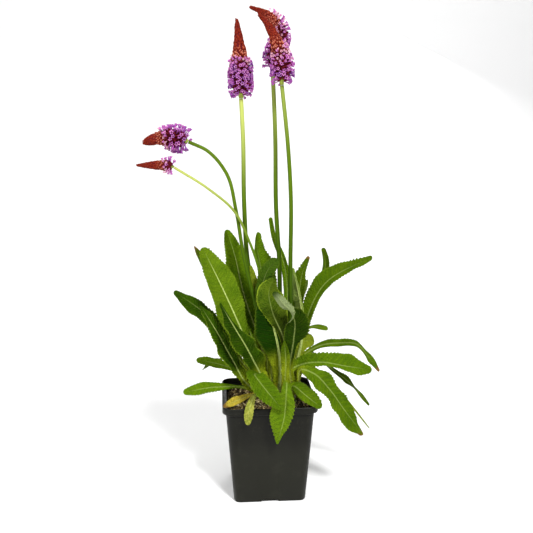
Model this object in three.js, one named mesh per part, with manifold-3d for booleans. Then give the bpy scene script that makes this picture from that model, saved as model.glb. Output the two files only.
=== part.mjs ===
// An orchid primrose in a square nursery pot: pot, compost, crown, leaves, and five flower stems with
// their flower heads. All lengths are in millimetres, +Z is up and the pot's front side looks along -Y.
// The origin is the middle of the pot's underside.

import * as THREE from "three";
import Module from "manifold-3d";

// Pot: a tapered square tub with rounded corners and a wide rim band
const POT_HEIGHT = 98;
const POT_RIM_WIDTH = 90;
const POT_BODY_TOP_WIDTH = 83.6;
const POT_BASE_WIDTH = 69;
const POT_RIM_BAND = 6.5;
const POT_WALL = 1.2;
const POT_FLOOR = 3.6;
const RIM_CORNER = 10.5;
const BASE_CORNER = 6;
const FOOT_CHAMFER = 1.1;
const RIM_ROUNDING = 0.7;
const CORNER_STEPS = 5;

// Drainage: a low arch under the middle of each side, a hole through each arch and one near each corner
const ARCH_WIDTH = 17;
const ARCH_TOP_WIDTH = 13;
const ARCH_HEIGHT = 2.4;
const ARCH_DEPTH = 13;
const ARCH_SPLAY = 0.8;
const DRAIN_HOLE = 6;
const DRAIN_FROM_MIDDLE = 27;
const CORNER_DRAIN_FROM_MIDDLE = 20;

// Compost, with a lumpy top about a centimetre under the rim
const SOIL_TOP = 88;
const SOIL_LUMP = 1.1;
const SOIL_EDGE_DROP = 1.5;
const SOIL_RING_SHARES = [0.96, 0.84, 0.7, 0.54, 0.36, 0.18];
const FIT_GAP = 0.35;

// Crown: the low dome of stem base that every leaf stalk and flower stem grows from
const CROWN_X = 12.5;
const CROWN_RADIUS = 17.2;
const CROWN_HEIGHT = 11.7;
const CROWN_FOOT = SOIL_TOP + FIT_GAP;
const CROWN_SIDES = 24;
const CROWN_RING_HEIGHTS = [0, 0.25, 0.5, 0.72, 0.88, 0.97];

// Leaves
const STALK_WIDTH = 3.8;
const STALK_THICKNESS = 2.1;
const STALK_TURNS_UNTIL = 0.25;
const BLADE_THICKNESS = 0.8;
const BLADE_POINTEDNESS = 2.4;
const LISTED_STEP = 0.1;
const LISTED_FROM = 3;
const ROUND_TIP = 1.2;
const LEAF_STATIONS = [0, 0.05, 0.12, 0.2, 0.3, 0.4, 0.5, 0.6, 0.7, 0.79, 0.87, 0.94, 0.98, 1];

// Flower stems and heads
const STEM_SIDES = 8;
const STEM_STATIONS = 22;
const HEAD_SIDES = 12;
const HEAD_STATIONS = 13;
const FLORET_COLUMNS = 18;
const FLORET_ROWS = 10;
const FLORET_INNER_ROWS = 4;
const BUD_RIDGE = 0.07;
const CONE_FOOT_SHARE = 0.42;
const CONE_TIP_SHARE = 0.13;
const CONE_TAPERS_FROM = 0.38;
const CONE_CAP = 0.07;

const LEAF_GREEN = 0x5f8f22;
const LEAF_LIGHT = 0x7fab36;
const LEAF_DARK = 0x3f6d18;
const LEAF_PALE = 0x86a85a;
const LEAF_YELLOW = 0xc9a835;
const STEM_GREEN = 0x4f7a1c;
const STEM_LIGHT = 0x8db33c;
const BUD_RED = 0x8c2318;
const FLORET_VIOLET = 0xa552b8;
const POT_BLACK = 0x262624;
const COMPOST_BROWN = 0x4a3a28;
const CROWN_GREEN = 0x9fae6a;

// Each leaf: where its stalk leaves the crown (turn in degrees seen from above, 270 is the front, and
// distance from the crown's axis), points its midrib passes through with the tip last, the way the upper
// side looks at the stalk end and at the tip, and how far the halves fold upward. Then its outline: the
// width on the left and on the right of the midrib at every tenth of the length from 0.3 on, or the
// greatest width and how far along it is. The stalk's width is given where it isn't the usual one.
const LEAVES = [
  { name: "leaf_left_broad", turn: 194, ring: 13, rib: [[-28, -8, 169], [-46, -6, 210], [-62, -3, 243]],
    face: [0.3, -1, 0.3], faceTip: [0.3, -1, 0.35], fold: 6, left: [8, 12, 16.5, 18, 15, 12.3, 10, 4.5],
    right: [4.5, 5.5, 8, 12.5, 14, 13, 9.5, 4], color: LEAF_LIGHT },
  { name: "leaf_left_hidden", turn: 152, ring: 13, rib: [[-30, 17, 166], [-56, 24, 212], [-71, 26, 241]],
    face: [0.6, -0.5, 0.5], faceTip: [0.6, -0.5, 0.5], fold: 10, width: 18, belly: 0.68, color: LEAF_DARK },
  { name: "leaf_left_upright", turn: 160, ring: 9.5,
    rib: [[-5, 9, 138], [-23, 18, 195], [-32, 21, 235], [-39, 22, 257]], face: [0.35, -1, 0.2],
    faceTip: [0.25, -1, 0.2], fold: 14, left: [4, 6, 9, 12, 13, 12.8, 9, 3],
    right: [4, 5.5, 8, 10, 10.6, 9.7, 7, 2.5], stalk: 5, color: LEAF_GREEN },
  { name: "leaf_left_inner", turn: 190, ring: 9.5, rib: [[-2, -1, 151], [-11, -3, 192], [-17, -5, 226]],
    face: [0.2, -1, 0.3], faceTip: [0.5, -0.8, 0.5], fold: 12, left: [3, 3, 3.5, 4, 4.5, 4.5, 3.5, 1.2],
    right: [3, 3, 3.5, 4, 5, 5, 4.5, 1.2], color: LEAF_LIGHT },
  { name: "leaf_back_upright", turn: 114, ring: 9.5,
    rib: [[5, 22, 155], [-6, 30, 223], [-9, 33, 241], [-7, 34, 253]], face: [0.3, -1, 0.2],
    faceTip: [0.6, -0.8, 0.1], fold: 12, left: [4, 5, 6, 6.5, 6.5, 6, 4, 3],
    right: [4, 6, 8, 10, 12, 12, 7, 3], stalk: 6, color: LEAF_GREEN },
  { name: "leaf_grey_curl", turn: 232, ring: 9.5,
    rib: [[1, -14, 144], [-7, -18, 204], [-1, -19, 224], [8, -19, 234]], face: [-0.3, -1, 0.1],
    faceTip: [-0.4, -0.9, 0], fold: 8, left: [3, 3.5, 4.5, 5, 5.5, 6.7, 7, 4.5],
    right: [3, 3.5, 4.5, 5, 5.5, 6.7, 7, 4.5], stalk: 3.6, color: LEAF_DARK },
  { name: "leaf_centre_folded", turn: 288, ring: 9.5,
    rib: [[15.6, -19, 132], [14.2, -24, 155], [1.5, -27, 189], [-1, -27, 204], [3, -25, 217]],
    face: [-0.1, 1, 0.2], faceTip: [-0.2, 0.9, 0.3], fold: 8, left: [3, 4, 6, 10, 14, 16, 13, 3],
    right: [3, 3.5, 3.5, 4, 7, 12, 10, 2], stalk: 4.2, color: LEAF_LIGHT },
  { name: "leaf_centre_dark", turn: 308, ring: 13,
    rib: [[19, -24, 133], [22, -30, 159], [22, -35, 180], [18, -39, 189], [11, -42, 197], [2, -44, 208]],
    face: [0, -1, 0.25], faceTip: [0, -1, 0.25], fold: 6, left: [5, 7, 9, 10, 8, 5, 4.6, 2.4],
    right: [3, 3, 4, 12.5, 12.5, 5.4, 4.6, 2.4], stalk: 5, color: LEAF_DARK },
  { name: "leaf_edge_on", turn: 80, ring: 9.5,
    rib: [[19.5, 10.5, 158], [17, 18, 225], [7, 20, 252], [4, 20, 269]], face: [-0.3, -0.9, 0.2],
    faceTip: [-0.3, -0.9, 0.2], fold: 14, left: [3, 3, 3.4, 3.8, 3.8, 3.2, 2.4, 2],
    right: [3, 3, 3.4, 3.8, 3.8, 3.2, 2.4, 2], color: LEAF_GREEN },
  { name: "leaf_back_pointed", turn: 54, ring: 9.5,
    rib: [[29, 16, 146], [33, 22, 191], [36, 25, 210], [43, 28, 229]], face: [-0.3, -1, 0.2],
    faceTip: [-0.4, -0.9, 0.2], fold: 10, left: [3, 4, 5, 6, 7.5, 9.5, 5, 1.4],
    right: [3, 4, 5, 5, 5, 5.5, 3, 1.8], color: LEAF_DARK },
  { name: "leaf_right_pale_rib", turn: 346, ring: 9.5,
    rib: [[26, -1, 120], [33, 2, 145], [35, 4, 164], [32, 6, 189], [25, 6, 221]], face: [0.5, 0.8, 0.2],
    faceTip: [0.6, 0.8, 0.2], fold: 6, left: [3, 3, 2.5, 2.2, 2.2, 2, 1.5, 1.2],
    right: [7, 7.5, 8.5, 9, 9, 8, 5, 1.5], stalk: 6.5, color: LEAF_PALE },
  { name: "leaf_back_curl", turn: 64, ring: 13,
    rib: [[39, 36, 151], [56, 44, 191], [63, 46, 220], [60, 45, 235]], face: [-0.3, -0.9, 0.3],
    faceTip: [-0.3, -0.9, 0.3], fold: 16, left: [2, 2, 2, 2.2, 2.6, 2.8, 2.6, 2],
    right: [2, 2, 2, 2.4, 3.4, 4.6, 4.4, 2.4], color: LEAF_PALE },
  { name: "leaf_right_arching", turn: 24, ring: 9.5, rib: [[34, 12, 150], [57, 8, 205], [100, -4, 233]],
    face: [-0.3, -1, 0.4], faceTip: [-0.1, -1, 0.7], fold: 12, left: [5, 6.5, 8, 10, 10.4, 8.5, 5.1, 1.5],
    right: [3.5, 4.2, 5.1, 5, 5.8, 5.5, 4.6, 3.5], stalk: 5, color: LEAF_GREEN },
  { name: "leaf_back_bluish", turn: 86, ring: 13, rib: [[20, 30, 140], [33, 38, 183], [44, 40, 203]],
    face: [-0.2, -0.7, 0.7], faceTip: [-0.1, -0.7, 0.7], fold: 10, width: 15, belly: 0.7,
    color: LEAF_PALE },
  { name: "leaf_right_small", turn: 28, ring: 13,
    rib: [[33, 17, 137], [38, 22, 154], [45, 23, 157], [63, 24, 155]], face: [-0.2, -0.7, 0.7],
    faceTip: [0.2, -0.7, 0.7], fold: 8, left: [1.3, 1.3, 1.3, 1.3, 1.3, 1.6, 3, 2.6],
    right: [1.3, 1.3, 1.3, 1.3, 1.3, 1.6, 3, 2.6], stalk: 2.4, color: LEAF_LIGHT },
  { name: "leaf_right_round", turn: 43, ring: 13,
    rib: [[31, 17, 121], [35, 24, 135], [40, 28, 141], [50, 30, 141]], face: [-0.3, -0.9, 0.4],
    faceTip: [0, -0.9, 0.5], fold: 8, left: [2, 2, 2.5, 4, 6, 7.8, 7.6, 6],
    right: [2, 2, 2.5, 4, 6, 7.8, 7.6, 6], stalk: 3, color: LEAF_LIGHT },
  { name: "leaf_right_ruffled", turn: 2, ring: 13,
    rib: [[38, 9, 133], [51, 12, 140], [75, 13, 143], [89, 13, 142], [104, 10, 126], [113, 8, 114]],
    face: [-0.4, -0.8, 0.7], faceTip: [0.6, -0.8, 0.3], fold: 8,
    left: [2.4, 2.8, 3.9, 4.4, 3.4, 2.3, 4, 1.5], right: [2.2, 2.5, 3.5, 3.8, 3.3, 2.3, 3.6, 1.5],
    color: LEAF_LIGHT },
  { name: "leaf_right_broad", turn: 336, ring: 13,
    rib: [[22.6, -13, 125.4], [33, -14, 130.5], [51, -16, 132.5], [73, -18, 129], [99, -20, 125]],
    face: [-0.4, -0.9, 0.6], faceTip: [0.2, -0.9, 0.6], fold: 8, left: [6, 8.7, 9.1, 9.4, 10.6, 11, 6.8, 3],
    right: [3.2, 3.8, 4.6, 3.8, 3.8, 6, 7.2, 3.5], stalk: 5.5, color: LEAF_GREEN },
  { name: "leaf_right_twisted", turn: 10, ring: 16,
    rib: [[33, 9, 121], [51, 9, 127], [66, 6, 117], [82, 0, 105], [101, -4, 83]], face: [-0.3, -0.5, 0.8],
    faceTip: [0.6, -0.7, 0.3], fold: 10, left: [1.5, 1.5, 1.7, 2.6, 3.9, 1.3, 2.4, 1.3],
    right: [1.5, 1.5, 1.7, 2.6, 3.9, 1.3, 2.4, 1.3], color: LEAF_DARK },
  { name: "leaf_right_hanging", turn: 324, ring: 16,
    rib: [[32, -23, 128], [42, -27, 125], [56, -31, 111], [69, -35, 93], [88, -38, 67]],
    face: [0.1, -0.9, 0.6], faceTip: [0.5, -0.9, 0.3], fold: 6, left: [3.5, 6.2, 9.5, 7, 9.3, 7.7, 3.2, 1],
    right: [3.8, 9.5, 10.5, 8.5, 9.5, 12, 9.5, 2], color: LEAF_GREEN },
  { name: "leaf_right_thin", turn: 33, ring: 16,
    rib: [[40, 19, 118], [66, 22, 100], [89, 20, 72], [107, 18, 49]], face: [0.1, -0.4, 0.8],
    faceTip: [0.7, -0.4, 0.5], fold: 12, left: [1.3, 1.5, 1.6, 1.7, 1.8, 1.7, 1.4, 0.8],
    right: [1.3, 1.5, 1.6, 1.7, 1.8, 1.7, 1.4, 0.8], stalk: 2.6, color: LEAF_LIGHT },
  { name: "leaf_front_right_small", turn: 302, ring: 16,
    rib: [[23, -27, 113], [33, -36, 107], [47, -43, 97]], face: [0.1, -0.7, 0.8], faceTip: [0.3, -0.8, 0.6],
    fold: 6, left: [3.4, 6, 8.4, 9.6, 9.8, 9, 6.8, 4], right: [1.5, 2.5, 5, 6, 6.3, 5.8, 4.4, 3],
    color: LEAF_LIGHT },
  { name: "leaf_front_hanging", turn: 277, ring: 16,
    rib: [[15, -37, 119], [13.5, -48, 110], [12, -51, 95], [5, -53, 67]], face: [0.1, -0.8, 0.7],
    faceTip: [0, -1, 0.1], fold: 8, left: [2.5, 4, 6.5, 8.3, 7.6, 5.2, 2.6, 0.8],
    right: [2.5, 4, 6, 12.5, 14, 10.8, 6, 0.8], color: LEAF_LIGHT },
  { name: "leaf_front_kinked", turn: 254, ring: 13,
    rib: [[-5.5, -30, 124], [-15, -42, 130], [-10.5, -48, 125], [-1, -54, 114], [10, -57, 101]],
    face: [0.3, 0.5, 0.9], faceTip: [-0.2, -0.9, 0.5], fold: 6, left: [2.5, 4, 7, 8.5, 9.3, 8.8, 6.5, 1],
    right: [2.5, 4, 7, 9, 10.5, 9.8, 6, 1], color: LEAF_GREEN },
  { name: "leaf_left_diagonal_outer", turn: 212, ring: 13,
    rib: [[-20, -20, 112], [-36, -25, 141.5], [-50, -28, 169], [-64, -29, 193]], face: [0.6, -0.8, 0.4],
    faceTip: [0.5, -0.8, 0.3], fold: 6, left: [4, 6.5, 9, 10.7, 9, 7, 5, 1],
    right: [5, 6, 6, 5.5, 5, 5.3, 4.5, 1], color: LEAF_GREEN },
  { name: "leaf_left_diagonal_inner", turn: 230, ring: 13,
    rib: [[-11, -22, 129], [-23, -31, 155], [-34, -35, 175], [-46, -37, 197]], face: [0.4, -0.9, 0.3],
    faceTip: [0.5, -0.8, 0.4], fold: 8, left: [7, 9.5, 10.5, 12.5, 13, 11, 6.5, 1],
    right: [8, 11.5, 9, 8.6, 5.5, 2, 1.3, 0.9], color: LEAF_DARK },
  { name: "leaf_left_dark", turn: 173, ring: 13, rib: [[-27, 3, 130], [-60, 7, 176], [-90, 4, 200]],
    face: [0.5, -0.7, 0.6], faceTip: [0.3, -0.8, 0.6], fold: 8, left: [3, 5.5, 8, 10, 11, 11.5, 8.5, 2.5],
    right: [3, 4, 5.5, 7, 7.5, 7, 5, 2], color: LEAF_DARK },
  { name: "leaf_left_small", turn: 172, ring: 16, rib: [[-20, 8, 111], [-45, 10, 123.5], [-70, 10, 129.5]],
    face: [0.2, -0.7, 0.7], faceTip: [0.2, -0.8, 0.7], fold: 6,
    left: [1.8, 2, 2.2, 3.5, 4.5, 5.1, 4.4, 2.6], right: [1.8, 2, 2.2, 3.5, 4.5, 5.1, 4.4, 2.6], stalk: 3.2,
    color: LEAF_LIGHT },
  { name: "leaf_left_low", turn: 198, ring: 16, rib: [[-18, -8, 104], [-50, -13, 109], [-82, -16, 105.5]],
    face: [0.1, -0.8, 0.7], faceTip: [0.1, -0.8, 0.6], fold: 6,
    left: [1.5, 1.6, 2.8, 4.2, 5.5, 5.9, 4.7, 2.6], right: [1.5, 1.6, 2.8, 4.2, 5.5, 5.9, 4.7, 2.6],
    stalk: 3.2, color: LEAF_LIGHT },
  { name: "leaf_yellow", turn: 226, ring: 16, rib: [[-14, -22, 104], [-29, -32, 103], [-44, -42, 100]],
    face: [0.1, -0.6, 0.9], faceTip: [0, -0.8, 0.7], fold: 8,
    left: [1.5, 1.8, 2.3, 3.2, 3.8, 4.1, 3.2, 1.2], right: [1.5, 1.8, 2.3, 3.2, 3.8, 4.1, 3.2, 1.2],
    stalk: 3, color: LEAF_YELLOW },
  { name: "leaf_front_left_small", turn: 250, ring: 16,
    rib: [[-8, -36, 111], [-16, -45, 110], [-20, -49, 101], [-22, -50, 85]], face: [0.2, -0.5, 0.9],
    faceTip: [-0.1, -1, 0.1], fold: 6, left: [1.4, 1.4, 1.6, 2.2, 3.3, 4.1, 3.9, 1.7],
    right: [1.4, 1.4, 1.6, 2.2, 3.3, 4.1, 3.9, 1.7], stalk: 2.8, color: LEAF_LIGHT },
  { name: "leaf_centre_white_rib", turn: 258, ring: 9.5,
    rib: [[11, -15, 123], [9, -19, 146], [4, -22, 169], [-6.5, -22.6, 197]], face: [0, -1, 0.2],
    faceTip: [0.1, -1, 0.1], fold: 6, left: [8, 10, 14, 18, 20, 17, 12, 4],
    right: [3.5, 3.5, 4, 5, 7, 9, 7, 3], stalk: 4.2, color: LEAF_DARK },
  { name: "leaf_centre_narrow", turn: 284, ring: 13, rib: [[15, -23, 118], [15, -29, 140], [13, -33, 160]],
    face: [-0.3, -1, 0.2], faceTip: [-0.3, -1, 0.2], fold: 12, width: 9, belly: 0.66, color: LEAF_GREEN },
  { name: "leaf_rear_left_low", turn: 148, ring: 16, rib: [[-18, 24, 112], [-44, 40, 120], [-66, 54, 104]],
    face: [0.2, -0.2, 1], faceTip: [-0.2, 0.2, 1], fold: 8, width: 17, belly: 0.62, color: LEAF_GREEN },
  { name: "leaf_rear_left", turn: 128, ring: 13, rib: [[-8, 32, 130], [-28, 56, 165], [-50, 78, 172]],
    face: [0.4, -0.6, 0.8], faceTip: [0.1, -0.1, 1], fold: 8, width: 24, belly: 0.66, color: LEAF_LIGHT },
  { name: "leaf_rear_low", turn: 122, ring: 16, rib: [[-4, 32, 110], [-12, 54, 112], [-20, 76, 92]],
    face: [0.1, -0.3, 1], faceTip: [-0.1, 0.4, 0.9], fold: 8, width: 16, belly: 0.62, color: LEAF_DARK },
  { name: "leaf_rear_middle", turn: 106, ring: 13, rib: [[6, 34, 135], [2, 60, 172], [-4, 88, 180]],
    face: [0.1, -0.8, 0.7], faceTip: [0, -0.1, 1], fold: 8, width: 25, belly: 0.66, color: LEAF_GREEN },
  { name: "leaf_rear_right", turn: 95, ring: 16, rib: [[14, 36, 112], [18, 62, 120], [20, 88, 104]],
    face: [0, -0.3, 1], faceTip: [0.1, 0.3, 1], fold: 8, width: 19, belly: 0.64, color: LEAF_LIGHT },
  { name: "leaf_rear_right_low", turn: 66, ring: 16, rib: [[28, 34, 112], [44, 58, 120], [56, 80, 106]],
    face: [-0.1, -0.3, 1], faceTip: [0.2, 0.2, 1], fold: 8, width: 18, belly: 0.62, color: LEAF_GREEN },
];

// Each flower stem: where it leaves the crown, its thickness and the points it passes through. Its head:
// points along the head's axis from foot to tip, the widest radius of the red bud cone, the outer radius
// of the open florets and the part of the axis they cover. A small blunt keeps the cone thick longer.
const STEMS = [
  { name: "left", turn: 150, ring: 5.4, thick: 4, color: STEM_GREEN,
    path: [[-4, 2, 165], [-19, 0, 229], [-22, 0, 278], [-23, 0, 348], [-24.5, 0, 380]],
    axis: [[-25, 0, 400], [-26, 0, 425], [-28, 0, 450]],
    bud: 8, blunt: 1, floret: 12.8, from: 0.02, to: 0.56 },
  { name: "middle", turn: 60, ring: 4.6, thick: 4, color: STEM_GREEN,
    path: [[13, 9, 165], [12, 11, 227], [9, 12, 277], [8, 13, 349], [5.5, 13, 407]],
    axis: [[9, 13, 425], [12, 13, 440], [2, 13, 455], [-16, 13, 463]],
    bud: 7, blunt: 1, floret: 11.5, from: 0.02, to: 0.6 },
  { name: "right", turn: 335, ring: 5.2, thick: 3.7, color: STEM_GREEN,
    path: [[21, -7, 165], [21, -8, 230], [21, -9, 288], [18, -10, 336], [12, -11, 391]],
    axis: [[12, -12, 407], [7.5, -12, 427], [-1.5, -12, 443.5], [-9.5, -12, 452.7]],
    bud: 7, blunt: 1, floret: 11.2, from: 0.02, to: 0.5 },
  { name: "nodding", turn: 236, ring: 5.4, thick: 3.2, color: STEM_GREEN,
    path: [[-10, -9, 180], [-24, -8, 240], [-30, -6, 278], [-39, -5, 313], [-56, -5, 333], [-73, -5, 341]],
    axis: [[-85, -5, 344], [-100, -5, 344], [-114, -5, 340]],
    bud: 7, blunt: 0.32, floret: 13, from: 0.02, to: 0.58 },
  { name: "pale_nodding", turn: 288, ring: 5.2, thick: 2.3, color: STEM_LIGHT,
    path: [[1, -6, 180], [-17, -9, 247], [-32, -11, 278], [-56, -12, 299], [-86, -12, 318]],
    axis: [[-97, -12, 320], [-108, -12, 320], [-120, -12, 320]],
    bud: 4.5, blunt: 0.85, floret: 8.8, from: 0.02, to: 0.36 },
];

const group = new THREE.Group();
group.name = "potted_primrose";

function vec(p) {
  return new THREE.Vector3(p[0], p[1], p[2]);
}

function addMesh(name, geometry, color, roughness) {
  geometry.computeVertexNormals();
  const material = new THREE.MeshStandardMaterial({ color, roughness, metalness: 0 });
  material.name = name;
  const mesh = new THREE.Mesh(geometry, material);
  mesh.name = name;
  group.add(mesh);
}

// Skins a row of equal loops into one closed body, with a fan of triangles at each end.
// Loops run anticlockwise seen from the end of the row.
function skin(loops, startMiddle, endMiddle) {
  const count = loops[0].length;
  const points = loops.flat();
  const first = points.length;
  const last = first + 1;
  const top = (loops.length - 1) * count;
  const faces = [];
  for (let k = 0; k + 1 < loops.length; k += 1) {
    for (let i = 0; i < count; i += 1) {
      const a = k * count + i;
      const b = k * count + ((i + 1) % count);
      faces.push(a, b, b + count, a, b + count, a + count);
    }
  }
  for (let i = 0; i < count; i += 1) {
    const j = (i + 1) % count;
    faces.push(first, j, i);
    faces.push(last, top + i, top + j);
  }
  points.push(startMiddle, endMiddle);
  const geometry = new THREE.BufferGeometry();
  geometry.setAttribute("position", new THREE.Float32BufferAttribute(points.flatMap((p) => p.toArray()), 3));
  geometry.setIndex(faces);
  return geometry;
}

function middleOf(loop) {
  const sum = new THREE.Vector3();
  for (const p of loop) {
    sum.add(p);
  }
  return sum.divideScalar(loop.length);
}

// Smooth path through a row of points: cubic pieces, each covering its share of the straight lengths
function smoothPath(points, startDirection) {
  const spans = [];
  let total = 0;
  for (let i = 0; i + 1 < points.length; i += 1) {
    const length = points[i].distanceTo(points[i + 1]);
    spans.push(length);
    total += length;
  }
  const slopes = points.map((p, i) => {
    if (i === 0) {
      return startDirection.clone();
    }
    if (i === points.length - 1) {
      return p.clone().sub(points[i - 1]).divideScalar(spans[i - 1]);
    }
    const before = p.clone().sub(points[i - 1]).divideScalar(spans[i - 1]);
    const after = points[i + 1].clone().sub(p).divideScalar(spans[i]);
    const both = before.multiplyScalar(spans[i]).add(after.multiplyScalar(spans[i - 1]));
    return both.divideScalar(spans[i - 1] + spans[i]);
  });
  return (s) => {
    let along = Math.min(Math.max(s, 0), 1) * total;
    let k = 0;
    while (k < spans.length - 1 && along > spans[k]) {
      along -= spans[k];
      k += 1;
    }
    const length = spans[k];
    const t = along / length;
    const value = points[k].clone().multiplyScalar(2 * t ** 3 - 3 * t ** 2 + 1);
    value.addScaledVector(slopes[k], length * (t ** 3 - 2 * t ** 2 + t));
    value.addScaledVector(points[k + 1], 3 * t ** 2 - 2 * t ** 3);
    value.addScaledVector(slopes[k + 1], length * (t ** 3 - t ** 2));
    const slope = points[k].clone().multiplyScalar((6 * t ** 2 - 6 * t) / length);
    slope.addScaledVector(slopes[k], 3 * t ** 2 - 4 * t + 1);
    slope.addScaledVector(points[k + 1], (6 * t - 6 * t ** 2) / length);
    slope.addScaledVector(slopes[k + 1], 3 * t ** 2 - 2 * t);
    return { point: value, direction: slope.normalize() };
  };
}

// A place on the crown's dome and the way out of it there
function crownSeat(turn, ring) {
  const angle = THREE.MathUtils.degToRad(turn);
  const rise = CROWN_HEIGHT * Math.sqrt(1 - (ring / CROWN_RADIUS) ** 2);
  const out = vec([
    (Math.cos(angle) * ring) / CROWN_RADIUS ** 2,
    (Math.sin(angle) * ring) / CROWN_RADIUS ** 2,
    rise / CROWN_HEIGHT ** 2,
  ]).normalize();
  const point = vec([CROWN_X + Math.cos(angle) * ring, Math.sin(angle) * ring, CROWN_FOOT + rise]);
  point.addScaledVector(out, FIT_GAP);
  return { point, out };
}

// Rounded square loop at one height
function squareLoop(width, corner, z) {
  const loop = [];
  const straight = width / 2 - corner;
  for (let side = 0; side < 4; side += 1) {
    const cx = side === 0 || side === 3 ? straight : -straight;
    const cy = side < 2 ? straight : -straight;
    for (let i = 0; i <= CORNER_STEPS; i += 1) {
      const angle = (side + i / CORNER_STEPS) * (Math.PI / 2);
      loop.push(vec([cx + Math.cos(angle) * corner, cy + Math.sin(angle) * corner, z]));
    }
  }
  return loop;
}

function toManifold(wasm, geometry) {
  const solid = geometry.index ? geometry.toNonIndexed() : geometry;
  const positions = solid.getAttribute("position").array;
  const mesh = new wasm.Mesh({
    numProp: 3,
    vertProperties: new Float32Array(positions),
    triVerts: Uint32Array.from({ length: positions.length / 3 }, (_, i) => i),
  });
  mesh.merge();
  return new wasm.Manifold(mesh);
}

function fromManifold(solid) {
  const mesh = solid.getMesh();
  const geometry = new THREE.BufferGeometry();
  geometry.setAttribute("position", new THREE.Float32BufferAttribute(mesh.vertProperties, 3));
  geometry.setIndex(Array.from(mesh.triVerts));
  return geometry;
}

// Inner width of the pot at a height between its floor and the foot of the rim band
function potInnerWidth(z) {
  const low = POT_BASE_WIDTH - 2 * POT_WALL;
  const high = POT_BODY_TOP_WIDTH - 2 * POT_WALL;
  return low + ((high - low) * (z - POT_FLOOR)) / (POT_HEIGHT - POT_RIM_BAND - POT_FLOOR);
}

async function addPot() {
  const wasm = await Module();
  wasm.setup();
  const bandFoot = POT_HEIGHT - POT_RIM_BAND;
  const loops = [
    squareLoop(POT_BASE_WIDTH - 2, BASE_CORNER - 0.8, 0),
    squareLoop(POT_BASE_WIDTH, BASE_CORNER, FOOT_CHAMFER),
    squareLoop(POT_BODY_TOP_WIDTH, RIM_CORNER - 2, bandFoot - 0.6),
    squareLoop(POT_RIM_WIDTH - 1, RIM_CORNER - 0.4, bandFoot),
    squareLoop(POT_RIM_WIDTH, RIM_CORNER, bandFoot + RIM_ROUNDING),
    squareLoop(POT_RIM_WIDTH, RIM_CORNER, POT_HEIGHT - RIM_ROUNDING),
    squareLoop(POT_RIM_WIDTH - 1, RIM_CORNER - 0.4, POT_HEIGHT),
    squareLoop(POT_RIM_WIDTH - 2 * POT_WALL, RIM_CORNER - POT_WALL, POT_HEIGHT),
    squareLoop(POT_RIM_WIDTH - 2 * POT_WALL - 0.3, RIM_CORNER - POT_WALL, bandFoot + 1.6),
    squareLoop(potInnerWidth(bandFoot), RIM_CORNER - 3, bandFoot + 0.8),
    squareLoop(potInnerWidth(POT_FLOOR), BASE_CORNER - POT_WALL, POT_FLOOR),
  ];
  let pot = toManifold(wasm, skin(loops, vec([0, 0, 0]), vec([0, 0, POT_FLOOR])));
  const arch = new THREE.Shape();
  arch.moveTo(-ARCH_WIDTH / 2 - ARCH_SPLAY, -1);
  arch.lineTo(ARCH_WIDTH / 2 + ARCH_SPLAY, -1);
  arch.lineTo(ARCH_TOP_WIDTH / 2, ARCH_HEIGHT);
  arch.lineTo(-ARCH_TOP_WIDTH / 2, ARCH_HEIGHT);
  const cutter = new THREE.ExtrudeGeometry(arch, { depth: ARCH_DEPTH, bevelEnabled: false });
  cutter.rotateX(Math.PI / 2);
  cutter.translate(0, -POT_BASE_WIDTH / 2 + ARCH_DEPTH - 0.5, 0);
  const hole = new THREE.CylinderGeometry(DRAIN_HOLE / 2, DRAIN_HOLE / 2, POT_FLOOR + 4, 14);
  hole.rotateX(Math.PI / 2);
  hole.translate(0, 0, POT_FLOOR / 2);
  for (let side = 0; side < 4; side += 1) {
    const turn = (side * Math.PI) / 2;
    pot = pot.subtract(toManifold(wasm, cutter.clone().rotateZ(turn)));
    const middle = hole.clone().translate(0, -DRAIN_FROM_MIDDLE, 0).rotateZ(turn);
    pot = pot.subtract(toManifold(wasm, middle));
    const corner = hole.clone().translate(CORNER_DRAIN_FROM_MIDDLE, -CORNER_DRAIN_FROM_MIDDLE, 0);
    pot = pot.subtract(toManifold(wasm, corner.rotateZ(turn)));
  }
  addMesh("pot", fromManifold(pot), POT_BLACK, 0.5);
}

function addSoil() {
  const foot = POT_FLOOR + FIT_GAP;
  const shoulder = SOIL_TOP - SOIL_EDGE_DROP;
  const loops = [
    squareLoop(potInnerWidth(foot) - 2 * FIT_GAP, BASE_CORNER - POT_WALL - FIT_GAP, foot),
    squareLoop(potInnerWidth(shoulder) - 2 * FIT_GAP - 0.3, RIM_CORNER - 2.2 - POT_WALL, shoulder),
  ];
  for (const [index, share] of SOIL_RING_SHARES.entries()) {
    const loop = squareLoop(potInnerWidth(SOIL_TOP) * share, (RIM_CORNER - 3) * share, SOIL_TOP);
    for (const [i, p] of loop.entries()) {
      const fromCrown = Math.hypot(p.x - CROWN_X, p.y) - CROWN_RADIUS - 1;
      const lump = Math.sin(i * 2.4 + index * 1.9) * Math.sin(i * 1.1 + index * 3.3);
      p.z += SOIL_LUMP * lump * THREE.MathUtils.clamp((fromCrown - 3) / 5, 0, 1);
    }
    loops.push(loop);
  }
  addMesh("soil", skin(loops, vec([0, 0, foot]), vec([0, 0, SOIL_TOP])), COMPOST_BROWN, 0.95);
}

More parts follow.
